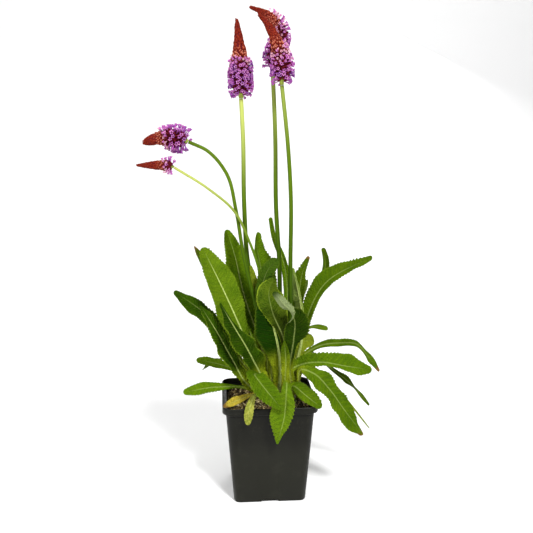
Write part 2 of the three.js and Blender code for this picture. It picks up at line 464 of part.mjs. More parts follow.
function addCrown() {
  const loops = [];
  for (const height of CROWN_RING_HEIGHTS) {
    const radius = CROWN_RADIUS * Math.sqrt(1 - height ** 2);
    const loop = [];
    for (let i = 0; i < CROWN_SIDES; i += 1) {
      const angle = (i / CROWN_SIDES) * 2 * Math.PI;
      const x = CROWN_X + Math.cos(angle) * radius;
      loop.push(vec([x, Math.sin(angle) * radius, CROWN_FOOT + height * CROWN_HEIGHT]));
    }
    loops.push(loop);
  }
  const geometry = skin(loops, vec([CROWN_X, 0, CROWN_FOOT]), vec([CROWN_X, 0, CROWN_FOOT + CROWN_HEIGHT]));
  addMesh("crown", geometry, CROWN_GREEN, 0.7);
}

// Half the width of a leaf without lists: a narrow stalk that widens into a blade with a short point
function plainHalf(leaf, s) {
  const rise = (s / leaf.belly) ** (BLADE_POINTEDNESS * leaf.belly);
  const fall = (Math.max(1 - s, 0) / (1 - leaf.belly)) ** (BLADE_POINTEDNESS * (1 - leaf.belly));
  const stalk = (leaf.stalk ?? STALK_WIDTH) * Math.min(1, (1 - s) * 4 + 0.25);
  return Math.max(stalk, leaf.width * rise * fall) / 2;
}

// Half-width on one side, straight between the stalk's and the listed values, with a rounded tip
function bladeHalf(leaf, side, s, length) {
  if (!leaf[side]) {
    return plainHalf(leaf, s);
  }
  const stalk = (leaf.stalk ?? STALK_WIDTH) / 2;
  const values = [...Array(LISTED_FROM).fill(stalk), ...leaf[side]];
  const piece = Math.min(Math.floor(s / LISTED_STEP), values.length - 2);
  const half = THREE.MathUtils.lerp(values[piece], values[piece + 1], s / LISTED_STEP - piece);
  const tip = Math.max(values[values.length - 1], ROUND_TIP);
  const short = THREE.MathUtils.clamp(1 - ((1 - s) * length) / tip, 0, 1);
  return Math.max(half * Math.sqrt(1 - short ** 2), BLADE_THICKNESS / 2);
}

function pathLength(path) {
  let length = 0;
  for (let k = 1; k < LEAF_STATIONS.length; k += 1) {
    length += path(LEAF_STATIONS[k]).point.distanceTo(path(LEAF_STATIONS[k - 1]).point);
  }
  return length;
}

function addLeaf(leaf) {
  const seat = crownSeat(leaf.turn, leaf.ring);
  const path = smoothPath([seat.point, ...leaf.rib.map(vec)], seat.out);
  const length = pathLength(path);
  const slope = Math.tan(THREE.MathUtils.degToRad(leaf.fold));
  const angle = THREE.MathUtils.degToRad(leaf.turn);
  const around = vec([-Math.sin(angle), Math.cos(angle), 0]);
  const loops = LEAF_STATIONS.map((s) => {
    const { point, direction } = path(s);
    const face = vec(leaf.face).normalize().lerp(vec(leaf.faceTip).normalize(), s);
    const across = direction.clone().cross(face).normalize();
    if (s < STALK_TURNS_UNTIL) {
      const side = around.clone().multiplyScalar(around.dot(across) < 0 ? -1 : 1);
      across.lerp(side, 1 - s / STALK_TURNS_UNTIL);
      across.addScaledVector(direction, -across.dot(direction)).normalize();
    }
    const up = across.clone().cross(direction).normalize();
    const left = bladeHalf(leaf, "left", s, length);
    const right = bladeHalf(leaf, "right", s, length);
    const rib = THREE.MathUtils.lerp(STALK_THICKNESS, BLADE_THICKNESS, Math.min(s / 0.5, 1)) / 2;
    const edge = s < 0.1 ? rib * 0.7 : BLADE_THICKNESS / 2;
    const place = (x, y) => point.clone().addScaledVector(across, x).addScaledVector(up, y);
    return [
      place(-left, left * slope + edge),
      place(0, rib),
      place(right, right * slope + edge),
      place(right, right * slope - edge),
      place(0, -rib),
      place(-left, left * slope - edge),
    ];
  });
  const geometry = skin(loops, middleOf(loops[0]), middleOf(loops[loops.length - 1]));
  addMesh(leaf.name, geometry, leaf.color, 0.55);
}

// A frame across a path: two directions square to it that do not spin along it
function crossFrame(direction) {
  const side = direction.clone().cross(vec([0, 1, 0.2])).normalize();
  return { side, up: direction.clone().cross(side).normalize() };
}

function ringLoop(at, radius, sides, turn) {
  const { side, up } = crossFrame(at.direction);
  const loop = [];
  for (let i = 0; i < sides; i += 1) {
    const angle = ((i + turn) / sides) * 2 * Math.PI;
    const r = typeof radius === "function" ? radius(i) : radius;
    const p = at.point.clone().addScaledVector(side, Math.cos(angle) * r);
    loop.push(p.addScaledVector(up, Math.sin(angle) * r));
  }
  return loop;
}

// Radius of the bud cone along the head: it swells from its narrow foot, tapers, and ends in a round cap
function budRadius(stem, t) {
  const swell = THREE.MathUtils.smoothstep(t, -0.05, 0.22);
  const narrow = THREE.MathUtils.clamp((t - CONE_TAPERS_FROM) / (1 - CONE_TAPERS_FROM), 0, 1) ** 1.15;
  const taper = CONE_TIP_SHARE + (1 - CONE_TIP_SHARE) * (1 - narrow) ** stem.blunt;
  const cap = CONE_CAP / stem.blunt;
  const end = Math.sqrt(1 - THREE.MathUtils.clamp((t - 1 + cap) / (cap * 1.07), 0, 1) ** 2);
  return stem.bud * (CONE_FOOT_SHARE + (1 - CONE_FOOT_SHARE) * swell) * taper * end;
}

function addStemAndHead(stem) {
  const seat = crownSeat(stem.turn, stem.ring);
  const path = smoothPath([seat.point, ...stem.path.map(vec)], seat.out);
  const loops = [];
  for (let k = 0; k <= STEM_STATIONS; k += 1) {
    const s = k / STEM_STATIONS;
    loops.push(ringLoop(path(s), (stem.thick / 2) * (1.15 - 0.15 * s), STEM_SIDES, 0));
  }
  const stalk = skin(loops, middleOf(loops[0]), middleOf(loops[STEM_STATIONS]));
  addMesh(`stem_${stem.name}`, stalk, stem.color, 0.5);

  const end = path(1);
  const foot = end.point.clone().addScaledVector(end.direction, FIT_GAP);
  const axis = smoothPath([foot, ...stem.axis.map(vec)], end.direction);
  const buds = [];
  for (let k = 0; k <= HEAD_STATIONS; k += 1) {
    const t = k / HEAD_STATIONS;
    const ridge = t > stem.to ? BUD_RIDGE : 0;
    const radius = (i) => budRadius(stem, t) * (1 + ridge * ((i + k) % 2 ? 1 : -1));
    buds.push(ringLoop(axis(t), radius, HEAD_SIDES, 0));
  }
  const cone = skin(buds, middleOf(buds[0]), middleOf(buds[HEAD_STATIONS]));
  addMesh(`buds_${stem.name}`, cone, BUD_RED, 0.7);

  const rings = [];
  for (let k = 0; k <= FLORET_ROWS; k += 1) {
    const share = k / FLORET_ROWS;
    const t = stem.from + (stem.to - stem.from) * share;
    const crown = Math.sin(Math.PI * (0.16 + 0.7 * share)) ** 0.5;
    const tall = stem.bud + (stem.floret - stem.bud) * crown;
    const valley = stem.bud + (tall - stem.bud) * 0.5;
    const radius = (i) => (k % 2 === 1 && (i + (k - 1) / 2) % 2 ? tall : valley);
    rings.push(ringLoop(axis(t), radius, FLORET_COLUMNS, 0));
  }
  for (let k = FLORET_INNER_ROWS; k >= 0; k -= 1) {
    const t = stem.from + (stem.to - stem.from) * (k / FLORET_INNER_ROWS);
    rings.push(ringLoop(axis(t), stem.bud * 1.02 + 2.2 * FIT_GAP, FLORET_COLUMNS, 0));
  }
  addMesh(`florets_${stem.name}`, ringSkin(rings), FLORET_VIOLET, 0.6);
}

// Skins a closed cycle of equal loops: a sleeve with an outside, an inside and two end bands
function ringSkin(loops) {
  const count = loops[0].length;
  const points = loops.flat();
  const faces = [];
  for (let k = 0; k < loops.length; k += 1) {
    const next = ((k + 1) % loops.length) * count;
    for (let i = 0; i < count; i += 1) {
      const j = (i + 1) % count;
      faces.push(k * count + i, k * count + j, next + j, k * count + i, next + j, next + i);
    }
  }
  const geometry = new THREE.BufferGeometry();
  geometry.setAttribute("position", new THREE.Float32BufferAttribute(points.flatMap((p) => p.toArray()), 3));
  geometry.setIndex(faces);
  return geometry;
}

await addPot();
addSoil();
addCrown();
LEAVES.forEach(addLeaf);
STEMS.forEach(addStemAndHead);

export default group;
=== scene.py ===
# %% [markdown]
# # An orchid primrose in a nursery pot
# The plant is a rosette of long, toothed, wrinkled leaves with five flower stems. Each stem ends in a
# cone of closed red buds over a sleeve of open violet florets. It grows in coarse compost in a square
# black pot. The packed model gives every piece its place and size. This script gives each one its real
# surface: leaves with veins and wavy edges, single florets, single compost grains.

import math

import bpy
import numpy as np
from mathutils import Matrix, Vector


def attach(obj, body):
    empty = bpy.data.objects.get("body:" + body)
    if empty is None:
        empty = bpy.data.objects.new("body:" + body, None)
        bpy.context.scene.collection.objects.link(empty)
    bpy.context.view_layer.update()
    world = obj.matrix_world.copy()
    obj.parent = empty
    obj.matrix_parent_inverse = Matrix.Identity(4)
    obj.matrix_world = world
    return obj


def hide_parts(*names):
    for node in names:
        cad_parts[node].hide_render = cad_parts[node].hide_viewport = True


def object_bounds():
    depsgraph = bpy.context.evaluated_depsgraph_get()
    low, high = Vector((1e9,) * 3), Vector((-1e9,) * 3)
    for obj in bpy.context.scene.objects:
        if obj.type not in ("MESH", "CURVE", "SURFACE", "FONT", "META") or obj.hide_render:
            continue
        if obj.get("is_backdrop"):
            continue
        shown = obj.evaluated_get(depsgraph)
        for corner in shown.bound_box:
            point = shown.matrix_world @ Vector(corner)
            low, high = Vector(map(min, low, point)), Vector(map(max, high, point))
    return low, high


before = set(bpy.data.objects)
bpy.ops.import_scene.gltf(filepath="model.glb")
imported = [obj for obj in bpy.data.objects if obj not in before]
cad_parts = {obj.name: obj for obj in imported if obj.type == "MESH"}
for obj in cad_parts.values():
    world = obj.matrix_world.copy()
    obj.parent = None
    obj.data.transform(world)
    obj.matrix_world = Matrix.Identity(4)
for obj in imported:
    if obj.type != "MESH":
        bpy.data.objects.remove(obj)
cad_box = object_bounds()
MM = 0.001
print("pieces in the packed model:", len(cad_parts))

# %% [markdown]
# ## Camera
# The picture was taken from 33 cm above the floor and about 64 cm away, looking a little down, with a
# normal lens. A direction, a distance and a height say where the camera stands, with a small shift to
# the side, so those are the values to keep.

# %% Stand the camera where the picture was taken
CAMERA_TURN = math.radians(-3.94)
CAMERA_DISTANCE = 0.640
CAMERA_HEIGHT = 0.3326
CAMERA_SIDE = -0.0012
CAMERA_PITCH = math.radians(9.65)
CAMERA_LENS = 45.82

lens = bpy.data.cameras.new("picture_camera")
lens.lens = CAMERA_LENS
lens.sensor_fit = "HORIZONTAL"
lens.sensor_width = 36
camera = bpy.data.objects.new("picture_camera", lens)
bpy.context.scene.collection.objects.link(camera)
camera.location = (
    math.sin(CAMERA_TURN) * CAMERA_DISTANCE + math.cos(CAMERA_TURN) * CAMERA_SIDE,
    -math.cos(CAMERA_TURN) * CAMERA_DISTANCE + math.sin(CAMERA_TURN) * CAMERA_SIDE,
    CAMERA_HEIGHT,
)
camera.rotation_euler = (math.pi / 2 - CAMERA_PITCH, 0, CAMERA_TURN)
bpy.context.scene.camera = camera
print("camera at", [round(value, 3) for value in camera.location])

# %% [markdown]
# ## Tools for surfaces
# Every piece here is a grid of points worked out with numpy: rings of points carried along a path, or a
# small shape copied many times. One function turns such points into a mesh, with named values on the
# points that the materials read later.


# %% Turn arrays into a piece
def new_mesh(name, points, faces):
    """A mesh from points in millimetres and arrays of faces."""
    mesh = bpy.data.meshes.new(name)
    lists = [face for part in faces for face in np.asarray(part).tolist()]
    mesh.from_pydata((np.asarray(points) * MM).tolist(), [], lists)
    return mesh


def new_object(name, data):
    """An object with that mesh or lamp, placed in the scene."""
    made = bpy.data.objects.new(name, data)
    bpy.context.scene.collection.objects.link(made)
    return made


def make_piece(name, points, faces, values, material, node, smooth=True):
    """Makes a mesh object from points in millimetres and arrays of faces. values holds named numbers
    on the points. The piece rides on the plant and stands for one packed node."""
    mesh = new_mesh(name, points, faces)
    for key, numbers in values.items():
        attribute = mesh.attributes.new(key, "FLOAT", "POINT")
        attribute.data.foreach_set("value", np.asarray(numbers, np.float32))
    mesh.polygons.foreach_set("use_smooth", [smooth] * len(mesh.polygons))
    mesh.materials.append(material)
    mesh.update()
    piece = new_object(name, mesh)
    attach(piece, "root")
    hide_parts(node)
    return piece


print("a piece stands for a packed node such as", sorted(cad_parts)[0])


# %% Close grids of points
def ring_faces(rows, columns):
    """Four-sided faces of a grid whose columns close into a ring. They look outwards if the ring runs
    anticlockwise seen from the last row."""
    row, column = np.meshgrid(np.arange(rows - 1), np.arange(columns), indexing="ij")
    after = (column + 1) % columns
    corners = [row * columns + column, row * columns + after, (row + 1) * columns + after]
    corners.append((row + 1) * columns + column)
    return np.stack(corners, -1).reshape(-1, 4)


def end_faces(rows, columns, first, last):
    """Fans of triangles that close both ends of such a grid on the middle points first and last."""
    column = np.arange(columns)
    after = (column + 1) % columns
    top = (rows - 1) * columns
    start = np.stack([np.full(columns, first), after, column], -1)
    end = np.stack([np.full(columns, last), top + column, top + after], -1)
    return np.concatenate([start, end])


def closed_rings(rings):
    """Points and faces of rings[row, column] closed by a middle point at each end."""
    rows, columns = rings.shape[:2]
    count = rows * columns
    points = np.concatenate([rings.reshape(-1, 3), rings[:1].mean(1), rings[-1:].mean(1)])
    return points, [ring_faces(rows, columns), end_faces(rows, columns, count, count + 1)]


def spread(values):
    """Point values for closed_rings: those of the grid, and one for each end's middle point."""
    return np.concatenate([values.ravel(), values[:1].mean(1), values[-1:].mean(1)])


def unit(vectors):
    """Vectors divided by their lengths."""
    return vectors / np.linalg.norm(vectors, axis=-1, keepdims=True)


def ease(x, low, high):
    """Rises smoothly from 0 at low to 1 at high: 3t squared less 2t cubed."""
    t = np.clip((x - low) / (high - low), 0, 1)
    return t * t * (3 - 2 * t)


print("ease at a quarter, a half and three quarters:", ease(np.array([0.25, 0.5, 0.75]), 0, 1))

# %% [markdown]
# ## Tools for materials
# A finish is a sum of masks and colours. Written with nodes it is hard to read, so a small class wraps a
# socket and lets ordinary signs add the Math nodes. Colours go through Mix nodes, because a Math node
# would turn them grey.


# %% Write materials as sums
class Wire:
    """A number, colour or vector on its way through a material."""

    def __init__(self, finish, socket):
        self.finish = finish
        self.socket = socket

    def __add__(self, other):
        return self.finish.maths("ADD", self, other)

    def __radd__(self, other):
        return self.finish.maths("ADD", other, self)

    def __sub__(self, other):
        return self.finish.maths("SUBTRACT", self, other)

    def __rsub__(self, other):
        return self.finish.maths("SUBTRACT", other, self)

    def __mul__(self, other):
        return self.finish.maths("MULTIPLY", self, other)

    def __rmul__(self, other):
        return self.finish.maths("MULTIPLY", other, self)

    def __abs__(self):
        return self.finish.maths("ABSOLUTE", self)


class Finish:
    """A material in the making, round one Principled shader."""

    def __init__(self, name):
        self.material = bpy.data.materials.new(name)
        self.material.use_nodes = True
        self.tree = self.material.node_tree
        self.shader = self.tree.nodes["Principled BSDF"]

    def node(self, kind, settings=None, sockets=None, output=0):
        """Adds a node: its settings are set first, then the values or wires of its sockets."""
        made = self.tree.nodes.new(kind)
        for key, value in (settings or {}).items():
            setattr(made, key, value)
        for key, value in (sockets or {}).items():
            self.join(made.inputs[key], value)
        return Wire(self, made.outputs[output])

    def join(self, socket, value):
        """Gives a socket its wire, or its value with a fourth number where it takes a colour."""
        if isinstance(value, Wire):
            self.tree.links.new(value.socket, socket)
        elif socket.type == "RGBA":
            socket.default_value = (*value, 1)
        else:
            socket.default_value = value

    def maths(self, operation, *values):
        """A Math node on one or two numbers."""
        return self.node("ShaderNodeMath", {"operation": operation}, dict(enumerate(values)))

    def point_value(self, name):
        """One of the named numbers on the mesh's points."""
        return self.node("ShaderNodeAttribute", {"attribute_name": name}, output="Fac")

    def place(self):
        """The place on the piece, in metres from the middle of the pot's underside."""
        return self.node("ShaderNodeTexCoord", output="Object")

    def speckle(self, size, detail=2.0, where=None):
        """Cloudy noise with patches of about that size in metres, from 0 to 1."""
        sockets = {"Vector": where or self.place(), "Scale": 1 / size, "Detail": detail}
        return self.node("ShaderNodeTexNoise", sockets=sockets, output="Fac")

    def cells(self, size):
        """Distance to the edge between cells of about that size in metres, grown round scattered
        points."""
        settings = {"feature": "DISTANCE_TO_EDGE"}
        sockets = {"Vector": self.place(), "Scale": 1 / size}
        return self.node("ShaderNodeTexVoronoi", settings, sockets, "Distance")

    def step(self, value, low, high):
        """0 below low, 1 above high, smooth between. low may be the larger one."""
        sockets = {"Value": value, "From Min": low, "From Max": high}
        return self.node("ShaderNodeMapRange", {"interpolation_type": "SMOOTHSTEP"}, sockets)

    def mix(self, share, first, second):
        """The first colour where share is 0, the second where it is 1. A Mix node for colours has its
        share at socket 0, its colours at 6 and 7 and its result at 2."""
        return self.node("ShaderNodeMix", {"data_type": "RGBA"}, {0: share, 6: first, 7: second}, 2)

    def dim(self, colour, amount):
        """The colour times a number, which a Vector Math node takes at socket 3."""
        return self.node("ShaderNodeVectorMath", {"operation": "SCALE"}, {0: colour, 3: amount})

    def stretched(self, factors):
        """The place on the piece times three factors: a small one draws a pattern out that way."""
        sockets = {0: self.place(), 1: factors}
        return self.node("ShaderNodeVectorMath", {"operation": "MULTIPLY"}, sockets)

    def relief(self, height, distance, strength):
        """A bump from a height between 0 and 1, that deep in metres."""
        sockets = {"Height": height, "Distance": distance, "Strength": strength}
        return self.node("ShaderNodeBump", sockets=sockets)

    def shade(self, sockets):
        """Fills the shader's sockets, by their names, and returns the material."""
        for key, value in sockets.items():
            self.join(self.shader.inputs[key], value)
        return self.material


print("finish helpers:", ", ".join(name for name in vars(Finish) if name[0] != "_"))

# %% [markdown]
# ## Pot
# The pot is thin moulded plastic: a tapered square tub with round corners, a wide rim band, an arch
# under each side and drainage holes. It could be boxes with bevels, but a profile carried round a
# rounded square gives the taper, the band and the inner wall in one closed surface. Only the arches and
# holes are cut out of it.

# %% Carry the pot's profile round a rounded square
POT_HEIGHT = 98
POT_RIM_WIDTH = 90
POT_BODY_TOP_WIDTH = 83.6
POT_BASE_WIDTH = 69
POT_RIM_BAND = 6.5
POT_WALL = 1.2
POT_FLOOR = 3.6
BAND_FOOT = POT_HEIGHT - POT_RIM_BAND


def square_ring(width, corner, height, per_corner=14, per_side=10):
    """Points of a rounded square, anticlockwise from above: each corner is a quarter circle of radius
    corner, and each side a straight row of points."""
    quarter = np.linspace(0, np.pi / 2, per_corner)
    arc = np.stack([np.cos(quarter), np.sin(quarter)], -1) * corner + (width / 2 - corner)
    away = np.linspace(0, 1, per_side + 2)[1:-1, None]
    following = np.array([-arc[0, 1], arc[0, 0]])
    side = arc[-1] * (1 - away) + following * away
    part = np.concatenate([arc, side])
    turns = [part]
    for _ in range(3):
        part = np.stack([-part[:, 1], part[:, 0]], -1)
        turns.append(part)
    flat = np.concatenate(turns)
    return np.column_stack([flat, np.full(len(flat), height)])


def inner_width(height):
    """Width between the inner walls: it grows evenly from the floor to the foot of the band."""
    low = POT_BASE_WIDTH - 2 * POT_WALL
    high = POT_BODY_TOP_WIDTH - 2 * POT_WALL
    return low + (high - low) * (height - POT_FLOOR) / (BAND_FOOT - POT_FLOOR)


# Each row is a width, a corner radius and a height, up the outside and down the inside
POT_PROFILE = [
    (POT_BASE_WIDTH - 2.4, 5.0, 0),
    (POT_BASE_WIDTH - 0.9, 5.6, 0.25),
    (POT_BASE_WIDTH, 6.0, 1.1),
    (POT_BASE_WIDTH + 0.4 * (POT_BODY_TOP_WIDTH - POT_BASE_WIDTH), 7.0, 0.4 * BAND_FOOT),
    (POT_BODY_TOP_WIDTH - 0.5, 8.4, BAND_FOOT - 3.2),
    (POT_BODY_TOP_WIDTH, 8.5, BAND_FOOT - 0.6),
    (POT_BODY_TOP_WIDTH + 1.4, 9.0, BAND_FOOT - 0.15),
    (POT_RIM_WIDTH - 1.2, 10.0, BAND_FOOT),
    (POT_RIM_WIDTH - 0.3, 10.4, BAND_FOOT + 0.3),
    (POT_RIM_WIDTH, 10.5, BAND_FOOT + 1.0),
    (POT_RIM_WIDTH, 10.5, POT_HEIGHT - 1.0),
    (POT_RIM_WIDTH - 0.3, 10.4, POT_HEIGHT - 0.3),
    (POT_RIM_WIDTH - 1.0, 10.1, POT_HEIGHT),
    (POT_RIM_WIDTH - 1.9, 9.6, POT_HEIGHT - 0.05),
    (POT_RIM_WIDTH - 2.4, 9.3, POT_HEIGHT - 0.5),
    (POT_RIM_WIDTH - 2.7, 9.3, BAND_FOOT + 1.6),
    (inner_width(BAND_FOOT), 7.5, BAND_FOOT + 0.8),
    (inner_width(POT_FLOOR), 4.8, POT_FLOOR),
]
pot_rings = np.stack([square_ring(*row) for row in POT_PROFILE])
print("pot profile:", len(POT_PROFILE), "rings of", pot_rings.shape[1], "points")

# %% [markdown]
# Black nursery plastic is never quite black: it is a worn satin grey with scuffs, faint dust near the
# rim and a fine moulded grain. The scuffs change its roughness more than its colour.


# %% Give the plastic its satin finish
def pot_finish():
    """Dark grey that drifts, with paler scuffs, painted shade over its upper part, and dusty towards the
    rim.
    """
    finish = Finish("pot_plastic")
    scuff = finish.step(finish.speckle(0.012, 5), 0.52, 0.75)
    grain = finish.speckle(0.0007, 1)
    drift = finish.speckle(0.03, 2)
    height = finish.node("ShaderNodeSeparateXYZ", sockets={0: finish.place()}, output="Z")
    dust = finish.step(finish.speckle(0.0022, 4), 0.56, 0.78) * finish.step(height, 0.05, POT_HEIGHT * MM)
    colour = finish.mix(drift * 0.6, (0.010, 0.0102, 0.0068), (0.015, 0.0152, 0.0105))
    colour = finish.mix(scuff * 0.25, colour, (0.028, 0.028, 0.021))
    # Painted shade: the upper part is darker, where the leaves shade the pot
    colour = finish.dim(colour, 1 - 0.4 * finish.step(height, 0.045, 0.07))
    colour = finish.mix(dust * 0.25, colour, (0.070, 0.062, 0.042))
    return finish.shade(
        {
            "Base Color": colour,
            "Roughness": 0.42 + scuff * 0.16 + dust * 0.2,
            "Specular IOR Level": 0.12,
            "Normal": finish.relief(grain * 0.5 + finish.speckle(0.02, 1) * 0.8, 0.00025, 0.35),
        }
    )


pot_material = pot_finish()
print("pot finish:", len(pot_material.node_tree.nodes), "nodes")

# %% [markdown]
# The pot stands on its four corners: each side has a low arch, so that water can run out from under it,
# and round holes go through the floor. They are simple shapes, so Boolean modifiers cut them, and the
# cut mesh then takes the place of the plain one.

# %% Cut the arches and the holes
ARCH_OUTLINE = [(-9.3, -1), (9.3, -1), (8.6, 0.6), (7.6, 1.8), (6.4, 2.4)]
ARCH_OUTLINE += [(-6.4, 2.4), (-7.6, 1.8), (-8.6, 0.6)]
ARCH_ENDS = (-22, -36)
HOLE_RADIUS = 3
HOLE_PLACES = [(0, -27), (20, -20)]
CUT_BEYOND = 2
SHARP_ANGLE = math.radians(38)


def turned(points, quarter):
    """Points turned about the vertical by whole quarter turns."""
    c, s = round(math.cos(quarter * math.pi / 2)), round(math.sin(quarter * math.pi / 2))
    return points @ np.array([[c, s, 0], [-s, c, 0], [0, 0, 1]])


arch = np.array([[x, y, z] for y in ARCH_ENDS for x, z in ARCH_OUTLINE], float)
arch = arch.reshape(2, -1, 3)
circle = np.linspace(0, 2 * np.pi, 24, endpoint=False)
hole = np.stack([np.cos(circle) * HOLE_RADIUS, np.sin(circle) * HOLE_RADIUS, circle * 0], -1)
hole = np.stack([hole + (0, 0, -CUT_BEYOND), hole + (0, 0, POT_FLOOR + CUT_BEYOND)])
pot_points, pot_faces = closed_rings(pot_rings)
pot = make_piece("pot_tub", pot_points, pot_faces, {}, pot_material, "pot")
cutters = []
for quarter in range(4):
    for rings in [arch] + [hole + (x, y, 0) for x, y in HOLE_PLACES]:
        points, faces = closed_rings(rings)
        cutters.append(new_object("cutter", new_mesh("cutter", turned(points, quarter), faces)))
for cutter in cutters:
    cut = pot.modifiers.new("cut", "BOOLEAN")
    cut.operation = "DIFFERENCE"
    cut.solver = "EXACT"
    cut.object = cutter
bpy.context.view_layer.update()
cut_pot = bpy.data.meshes.new_from_object(pot.evaluated_get(bpy.context.evaluated_depsgraph_get()))
pot.modifiers.clear()
pot.data = cut_pot
cut_pot.name = "pot_tub"
for cutter in cutters:
    bpy.data.objects.remove(cutter)
cut_pot.polygons.foreach_set("use_smooth", [True] * len(cut_pot.polygons))
cut_pot.set_sharp_from_angle(angle=SHARP_ANGLE)
print("pot:", len(cut_pot.polygons), "faces after", len(cutters), "cuts")

# %% [markdown]
# ## Compost
# Compost in a nursery pot is a coarse mix: dark peat, bark chips, pale grit and bits of straw. A bumpy
# surface alone looks like cloth, so single grains lie on it. Each grain is the same small rounded lump,
# stretched, turned and tinted at random, and all of them are one mesh with the surface below.

# %% Heap the compost
SOIL_TOP = 88
SOIL_GAP = 0.9
# Each row of the compost's sides is a corner radius and a height
SOIL_SIDES = [(5.6, 60), (6.8, 86.4)]
CROWN_X = 12.5
CROWN_RADIUS = 17.2
CROWN_HEIGHT = 11.7
CROWN_FOOT = 88.35
rng = np.random.default_rng(11)


def soil_height(x, y):
    """Height of the compost's surface: waves of three sizes that die away round the crown."""
    waves = 0.9 * np.sin(x * 0.21 + 1) * np.sin(y * 0.17 + 2)
    waves += 0.6 * np.sin(x * 0.55) * np.sin(y * 0.6 + x * 0.3)
    waves += 0.35 * np.sin(x * 1.7 + y * 0.6) * np.sin(y * 1.9 - x * 0.4)
    near = ease(np.hypot(x - CROWN_X, y), CROWN_RADIUS + 1, CROWN_RADIUS + 8)
    return SOIL_TOP + 0.2 + waves * near


soil_rows = [square_ring(inner_width(4) - 1, 4.4, 4)]
soil_rows += [square_ring(inner_width(height) - SOIL_GAP, corner, height) for corner, height in SOIL_SIDES]
for share in np.linspace(0.985, 0.02, 40):
    ring = square_ring(inner_width(SOIL_TOP) * share - SOIL_GAP, 7 * share, SOIL_TOP)
    ring[:, 2] = soil_height(ring[:, 0], ring[:, 1])
    soil_rows.append(ring)
soil_points, soil_faces = closed_rings(np.stack(soil_rows))
print("compost surface:", len(soil_points), "points")

# %% [markdown]
# Grains, chips and straws differ only in size, tint and how high they lie. One lump is stretched, turned
# and moved with arrays instead of a modifier, because every copy has to be a little different.


# %% Copy a small shape many times
def lump_shape():
    """A rounded lump: four rings of six points between two poles, on a ball of radius about 1."""
    tilt = np.linspace(-1.05, 1.05, 4)[:, None]
    turn = np.linspace(0, 2 * np.pi, 6, endpoint=False)[None, :] + np.array([0, 0.5, 0, 0.5])[:, None]
    rings = [np.cos(tilt) * np.cos(turn), np.cos(tilt) * np.sin(turn), np.sin(tilt) + 0 * turn]
    points, faces = closed_rings(np.stack(rings, -1))
    points[-2:, 2] = (-1.05, 1.05)
    return points, faces


def copies_of(faces, count, size):
    """The faces of count copies of a shape that has size points."""
    shift = (np.arange(count) * size)[:, None, None]
    return [(np.asarray(part)[None] + shift).reshape(-1, np.asarray(part).shape[1]) for part in faces]


def random_turns(count):
    """Random turning matrices from random unit quaternions."""
    w, x, y, z = unit(rng.normal(size=(count, 4))).T
    rows = [
        [1 - 2 * (y * y + z * z), 2 * (x * y - w * z), 2 * (x * z + w * y)],
        [2 * (x * y + w * z), 1 - 2 * (x * x + z * z), 2 * (y * z - w * x)],
        [2 * (x * z - w * y), 2 * (y * z + w * x), 1 - 2 * (x * x + y * y)],
    ]
    return np.array(rows).transpose(2, 0, 1)


def scatter(sizes, places, turns, roughen=0.12):
    """Lumps: each point is jogged a little, stretched by sizes, turned and moved to its place."""
    base, faces = lump_shape()
    points = base[None] * (1 + roughen * rng.normal(size=(len(places), len(base), 1)))
    points = np.einsum("nij,npj->npi", turns, points * sizes[:, None, :]) + places[:, None, :]
    return points.reshape(-1, 3), copies_of(faces, len(places), len(base))


LUMP_POINTS = len(lump_shape()[0])
print("points in a lump:", LUMP_POINTS)


# %% Scatter grains, chips and straw
def soil_spots(count, inset):
    """Random places on the compost, clear of the crown."""
    half = inner_width(SOIL_TOP) / 2 - inset
    spots = rng.uniform(-half, half, size=(count * 2, 2))
    return spots[np.hypot(spots[:, 0] - CROWN_X, spots[:, 1]) > CROWN_RADIUS - 3][:count]


def grains(count, small, large, flat, lift):
    """Places and sizes of grains between small and large, most of them small. flat is how thick the
    flattest ones are and lift how high they lie, both as a share of their size."""
    spots = soil_spots(count, large * 0.8 + 0.6)
    size = small + (large - small) * rng.random(len(spots)) ** 2.2
    sizes = size[:, None] * rng.uniform([0.7, 0.6, flat], [1.3, 0.9, flat + 0.3], size=(len(spots), 3))
    high = soil_height(spots[:, 0], spots[:, 1]) + size * lift
    return np.column_stack([spots, high]), sizes


# Each row is a count, the smallest and largest size, flat, lift, and the range of tones from dark to pale
GRAIN_KINDS = [
    (800, 0.6, 1.7, 0.5, 0.3, (0.0, 0.5)),
    (420, 0.5, 1.9, 0.35, 0.5, (0.4, 1.0)),
    (190, 1.2, 3.4, 0.3, 0.6, (0.0, 0.5)),
    (40, 1.0, 2.2, 0.2, 0.9, (0.7, 1.0)),
]
STRAW_COUNT = 150
STRAW_SPREAD = 0.93
grain_parts = []
for *kind, tone_range in GRAIN_KINDS:
    places, sizes = grains(*kind)
    points, faces = scatter(sizes, places, random_turns(len(places)))
    tones = np.repeat(rng.uniform(*tone_range, size=len(places)), LUMP_POINTS)
    grain_parts.append((points, faces, tones))
places, _ = grains(STRAW_COUNT, 0.4, 0.6, 1, 2.4)
straw_size = rng.uniform([0.25, 0.2, 2.0], [0.55, 0.3, 5.0], size=(len(places), 3))
lean = rng.uniform(0, 2 * np.pi, len(places))
tip = rng.uniform(1.15, 1.6, len(places))
along = np.stack([np.cos(lean) * np.sin(tip), np.sin(lean) * np.sin(tip), np.cos(tip)], -1)
beside = unit(np.cross(along, (0, 0, 1)))
turns = np.stack([np.cross(beside, along), beside, along], -1)
places[:, :2] *= STRAW_SPREAD
points, faces = scatter(straw_size, places, turns, 0.05)
grain_parts.append((points, faces, np.repeat(rng.uniform(0.8, 1.0, len(places)), LUMP_POINTS)))
print("grains:", sum(len(part[2]) // LUMP_POINTS for part in grain_parts))


